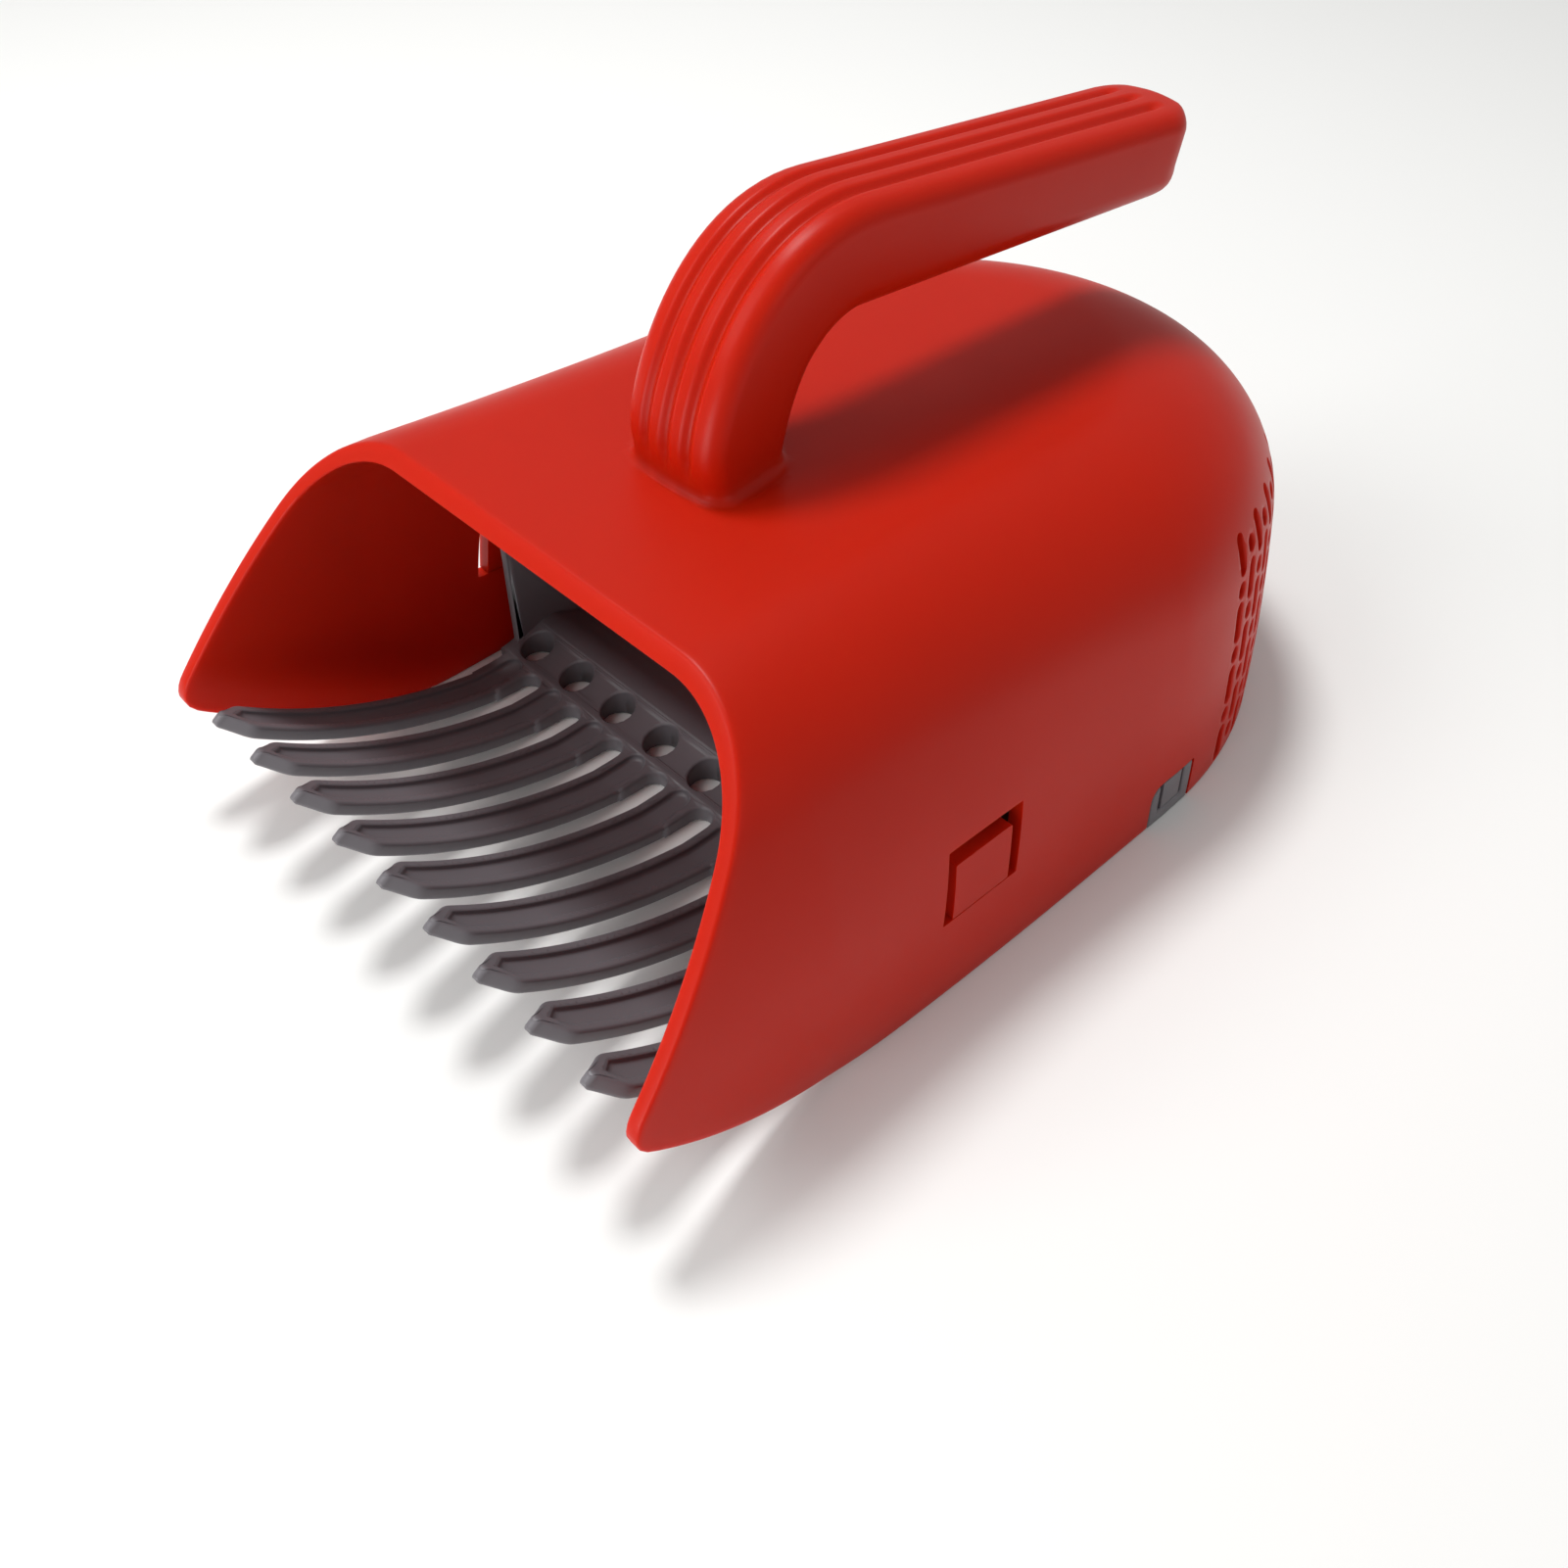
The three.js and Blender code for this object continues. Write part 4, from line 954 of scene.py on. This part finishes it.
def contours_of(lip, depth, foot):
    """Pairs (offset from the outline, depth) from above the lip down to the middle of the floor."""
    points = [(lip, -CLEAR_ABOVE)]
    angles = [math.pi / 2 * i / ARC_STEPS for i in range(ARC_STEPS + 1)]
    for angle in angles:
        points.append((lip * (1 - math.sin(angle)), lip * (1 - math.cos(angle))))
    for angle in angles:
        inward, upward = foot * (1 - math.cos(angle)), foot * (1 - math.sin(angle))
        points.append((-WALL_SLANT - inward, depth - upward))
    return points


def trough(name, ends, half, contours, point_slope=0):
    """A cutter between two y values with round ends, or with a pointed front of the given slope."""
    front, rear = ends
    offsets = [c[0] for c in contours][:0:-1]
    depths = [c[1] for c in contours][:0:-1]
    reach = [share * half for share in ROUND_END_SHARES]
    reach += [half + o for o in offsets if half + o > 0.9 * half]
    rear_ys = [rear + t for t in sorted(set(round(r, 4) for r in reach))]
    if point_slope:
        lean = math.sin(math.atan(point_slope))
        full = half / point_slope
        steps = [share * full for share in POINT_SHARES] + [full + 0.6]
        front_ys = [front + s for s in sorted([-o / lean for o in offsets] + steps)]
    else:
        front_ys = sorted(2 * front - (y - rear + front) for y in rear_ys)
    middle = [float(y) for y in np.arange(front_ys[-1] + 1.2, rear - 1, RING_SPACING)]
    ys = front_ys + middle + rear_ys
    count = len(contours)

    def place(ring, around):
        y = ys[ring]
        around %= 2 * count
        side, index = (1, around) if around < count else (-1, 2 * count - 1 - around)
        offset, depth = contours[index]
        if y > rear or not point_slope:
            past = max(y - rear, front - y, 0)
            radius = half + offset
            across = math.sqrt(max(radius ** 2 - past ** 2, 0)) if radius > past else 0
            beyond = past - half
        else:
            across = min(half + offset, max(0, point_slope * (y - front + offset / lean)))
            beyond = -(y - front) * lean
        if across == 0 and index > 0:
            depth = min(depth, float(np.interp(beyond, offsets, depths)))
        return side * across, y, top_height(y) - depth

    return closed_loft(name, len(ys) - 1, 2 * count, place)


# %% [markdown]
# The eight gaps end in half circles at the root bar, the nine drains are round holes, and each
# tooth has a shallow groove that starts in a point. The slab's corners come off, because the outer
# teeth stand free too. The grooves are cut last, across teeth and root at once.

# %% Gaps, drains and grooves
GAP_END_Y, GAP_LIP = 21.3, 0.7
FLUTE_HALF, FLUTE_DEPTH, FLUTE_LIP, FLUTE_FOOT = 2.45, 1.35, 0.45, 0.75
FLUTE_END_Y, FLUTE_RIM, FLUTE_POINT_SHARE = 22.1, 3.6, 0.76
DRAIN_Y, DRAIN_RADIUS, DRAIN_LIP = 30, 4.0, 0.6
THROUGH, THROUGH_FOOT = 12, 0.3
gap = trough("gap", (ROOT_FRONT_Y - 6, GAP_END_Y), (TOOTH_PITCH - TOOTH_WIDTH) / 2,
             contours_of(GAP_LIP, THROUGH, THROUGH_FOOT))
gaps = moved_copies(gap, [m + TOOTH_PITCH / 2 for m in tooth_middles[:-1]])
drain = trough("drain", (DRAIN_Y, DRAIN_Y), DRAIN_RADIUS,
               contours_of(DRAIN_LIP, THROUGH, THROUGH_FOOT))
drains = moved_copies(drain, tooth_middles)
flute_front_y = SWEEP_Y + SWEEP_RADIUS * math.sin(NOSE_ANGLE + FLUTE_RIM / SWEEP_RADIUS)
flute = trough("flute", (flute_front_y, FLUTE_END_Y), FLUTE_HALF,
               contours_of(FLUTE_LIP, FLUTE_DEPTH, FLUTE_FOOT),
               point_slope=TOOTH_WIDTH / 2 / NOSE_DEPTH / FLUTE_POINT_SHARE)
flutes = moved_copies(flute, tooth_middles)
cut(comb, gaps)
outer_edge = TOOTH_PITCH * (TOOTH_COUNT - 1) / 2 + TOOTH_WIDTH / 2
EDGE_END_Y = GAP_END_Y + 2.85
CORNER_FOOT, CORNER_TOP = -1, 8
for side in (-1, 1):
    corner = prism("corner", oblong(ROOT_FRONT_Y - 2, EDGE_END_Y, CORNER_FOOT, CORNER_TOP),
                   (side * outer_edge, side * (TRAY_HALF + 2)))
    cut(comb, corner)
cut(comb, teeth, "UNION")
cut(comb, drains)
cut(comb, flutes)
print("comb front faces", len(comb.data.polygons))

# %% [markdown]
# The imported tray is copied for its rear, and the room of the new comb is cut out of the copy. Its
# lugs stand a little too high for the catches of this scene, so they are cut off and made again
# over the ledges.

# %% Rear of the tray and the latches
PACKED_SHARP_ANGLE = math.radians(35)
REAR_ROUNDING, LATCH_ROUNDING = 0.4, 0.2


def rounded_copy(node, name, width):
    """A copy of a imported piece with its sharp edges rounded."""
    piece = copy_of(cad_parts[node], name)
    finish_with(piece, "WELD", merge_threshold=0.02 * MM)
    return finish_with(piece, "BEVEL", width=width * MM, segments=2, limit_method="ANGLE",
                       angle_limit=PACKED_SHARP_ANGLE, use_clamp_overlap=False)


rear = rounded_copy("comb_tray", "tray_rear", REAR_ROUNDING)
FRONT_OF_WALLS_Y = 27
ROOM_FRONT, ROOM_FOOT, ROOM_TOP, ROOM_HALF = -80, -2, 60, 90
TRAY_WALL = 1.9
inner_side = TRAY_HALF - TRAY_WALL
cut(rear, prism("comb_room", oblong(ROOM_FRONT, FRONT_OF_WALLS_Y, ROOM_FOOT, ROOM_TOP),
                (-ROOM_HALF, ROOM_HALF)))
cut(rear, prism("ramp_room", oblong(FRONT_OF_WALLS_Y - 1, RAMP_END_Y + 1, ROOM_FOOT, ROOM_TOP),
                (-inner_side, inner_side)))
SEAT_GAP = 0.3
LUG_FOOT, LUG_TOP, LUG_REACH, LUG_ROUNDING, LUG_ROOT = LEDGE_TOP + SEAT_GAP, 36.8, 1.3, 0.3, 0.9
OLD_LUG_HALF, OLD_LUG_TOP, OLD_LUG_REACH, OUTSIDE_WALL = LEDGE_HALF + 1, LUG_TOP + 5, 4, 0.01
for side in (-1, 1):
    old_lug = prism("old_lug", at_catch(oblong(-OLD_LUG_HALF, OLD_LUG_HALF, LUG_FOOT, OLD_LUG_TOP)),
                    (side * (TRAY_HALF + OUTSIDE_WALL), side * (TRAY_HALF + OLD_LUG_REACH)))
    cut(rear, old_lug)
    lug = prism("lug", at_catch(oblong(-LEDGE_HALF, LEDGE_HALF, LUG_FOOT, LUG_TOP, LUG_ROUNDING)),
                (side * (TRAY_HALF - LUG_ROOT), side * (TRAY_HALF + LUG_REACH)))
    cut(rear, lug, "UNION")
cut(comb, rear, "UNION")
latches = {side: rounded_copy(f"rear_latch_{side}", f"rear_latch_{side}_tongue", LATCH_ROUNDING)
           for side in ("right", "left")}
print("comb faces", len(comb.data.polygons))

# %% [markdown]
# Both mouldings are satin polypropylene: a soft, broad highlight, a very fine spark-eroded grain,
# and faint unevenness where the melt flowed. The red one is a warm signal red. Some light travels
# under its surface, which stands for the glow of the thin wall. The other is a dark neutral grey.
# Noise on Object coordinates was chosen, because it needs no unwrapping and moves with its piece.

# %% Satin moulded polypropylene
GRAIN_MM, GRAIN_DEPTH_MM, GRAIN_STRENGTH = 0.35, 0.03, 0.12
FLOW_MM = 40
GLOW_MM, GLOW_RADIUS = 8, (1, 0.15, 0.08)
PLASTIC_IOR = 1.49


def moulded_polypropylene(name, colour, deeper, roughness, specular, glow):
    """Satin plastic between two near colours, with fine grain and light under its surface."""
    material, tree = empty_material(name)
    place = node_in(tree, "ShaderNodeTexCoord").outputs["Object"]
    flow = node_in(tree, "ShaderNodeTexNoise",
                   {"Scale": 1 / (FLOW_MM * MM), "Detail": 3}, {"Vector": place})
    grain = node_in(tree, "ShaderNodeTexNoise",
                    {"Scale": 1 / (GRAIN_MM * MM), "Detail": 2}, {"Vector": place})
    shade = node_in(tree, "ShaderNodeMix", {"data_type": "RGBA"}, {"Factor": flow.outputs["Fac"]})
    shade.inputs["A"].default_value = from_hex(colour)
    shade.inputs["B"].default_value = from_hex(deeper)
    gloss = node_in(tree, "ShaderNodeMapRange",
                    {"From Min": 0.3, "From Max": 0.7,
                     "To Min": roughness - 0.03, "To Max": roughness + 0.04},
                    {"Value": flow.outputs["Fac"]})
    bump = node_in(tree, "ShaderNodeBump",
                   {"Strength": GRAIN_STRENGTH, "Distance": GRAIN_DEPTH_MM * MM},
                   {"Height": grain.outputs["Fac"]})
    paint = node_in(tree, "ShaderNodeBsdfPrincipled",
                    {"IOR": PLASTIC_IOR, "Specular IOR Level": specular, "Subsurface Weight": glow,
                     "Subsurface Radius": GLOW_RADIUS, "Subsurface Scale": GLOW_MM * MM},
                    {"Base Color": shade.outputs["Result"], "Roughness": gloss.outputs["Result"],
                     "Normal": bump.outputs["Normal"]})
    node_in(tree, "ShaderNodeOutputMaterial", links={"Surface": paint.outputs[0]})
    return material


red_polypropylene = moulded_polypropylene(
    "red_moulded_polypropylene", "B81C05", "AF1904", roughness=0.38, specular=0.14, glow=0.4)
grey_polypropylene = moulded_polypropylene(
    "grey_moulded_polypropylene", "6C686C", "646165", roughness=0.4, specular=0.45, glow=0)
print("plastics", red_polypropylene.name, grey_polypropylene.name)

# %% [markdown]
# Each finished piece gets its plastic and smooth shading that stops at real edges. Then it is told
#  which body it rides on, and the imported piece that it takes the place of is hidden. The table
#  also lists the slot that its colour is known by.

# %% Plastic, shading, body and slot of each piece
SMOOTH_ANGLE = math.radians(38)
DRESSED = [
    (hood, "hood", "hood", red_polypropylene, "red_plastic"),
    (catch_right, "side_catch_right", "side_catch_right", red_polypropylene, "red_plastic"),
    (catch_left, "side_catch_left", "side_catch_left", red_polypropylene, "red_plastic"),
    (comb, "tray", "comb_tray", grey_polypropylene, "grey_plastic"),
    (latches["right"], "rear_latch_right", "rear_latch_right", grey_polypropylene, "grey_plastic"),
    (latches["left"], "rear_latch_left", "rear_latch_left", grey_polypropylene, "grey_plastic"),
]
for piece, body, node, material, slot in DRESSED:
    piece.data.materials.clear()
    piece.data.materials.append(material)
    only(piece)
    bpy.ops.object.shade_smooth_by_angle(angle=SMOOTH_ANGLE)
    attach(piece, body)
    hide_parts(node)
    print(piece.name, "triangles", sum(len(p.vertices) - 2 for p in piece.data.polygons))

# %% [markdown]
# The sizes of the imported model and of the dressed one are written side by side. They must agree.

# %% Write both sizes and finish
size = {"cad": [list(cad_low), list(cad_high)], "visual": [list(corner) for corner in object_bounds()]}
for name, corners in size.items():
    print(name, "mm", [[round(c / MM, 2) for c in corner] for corner in corners])
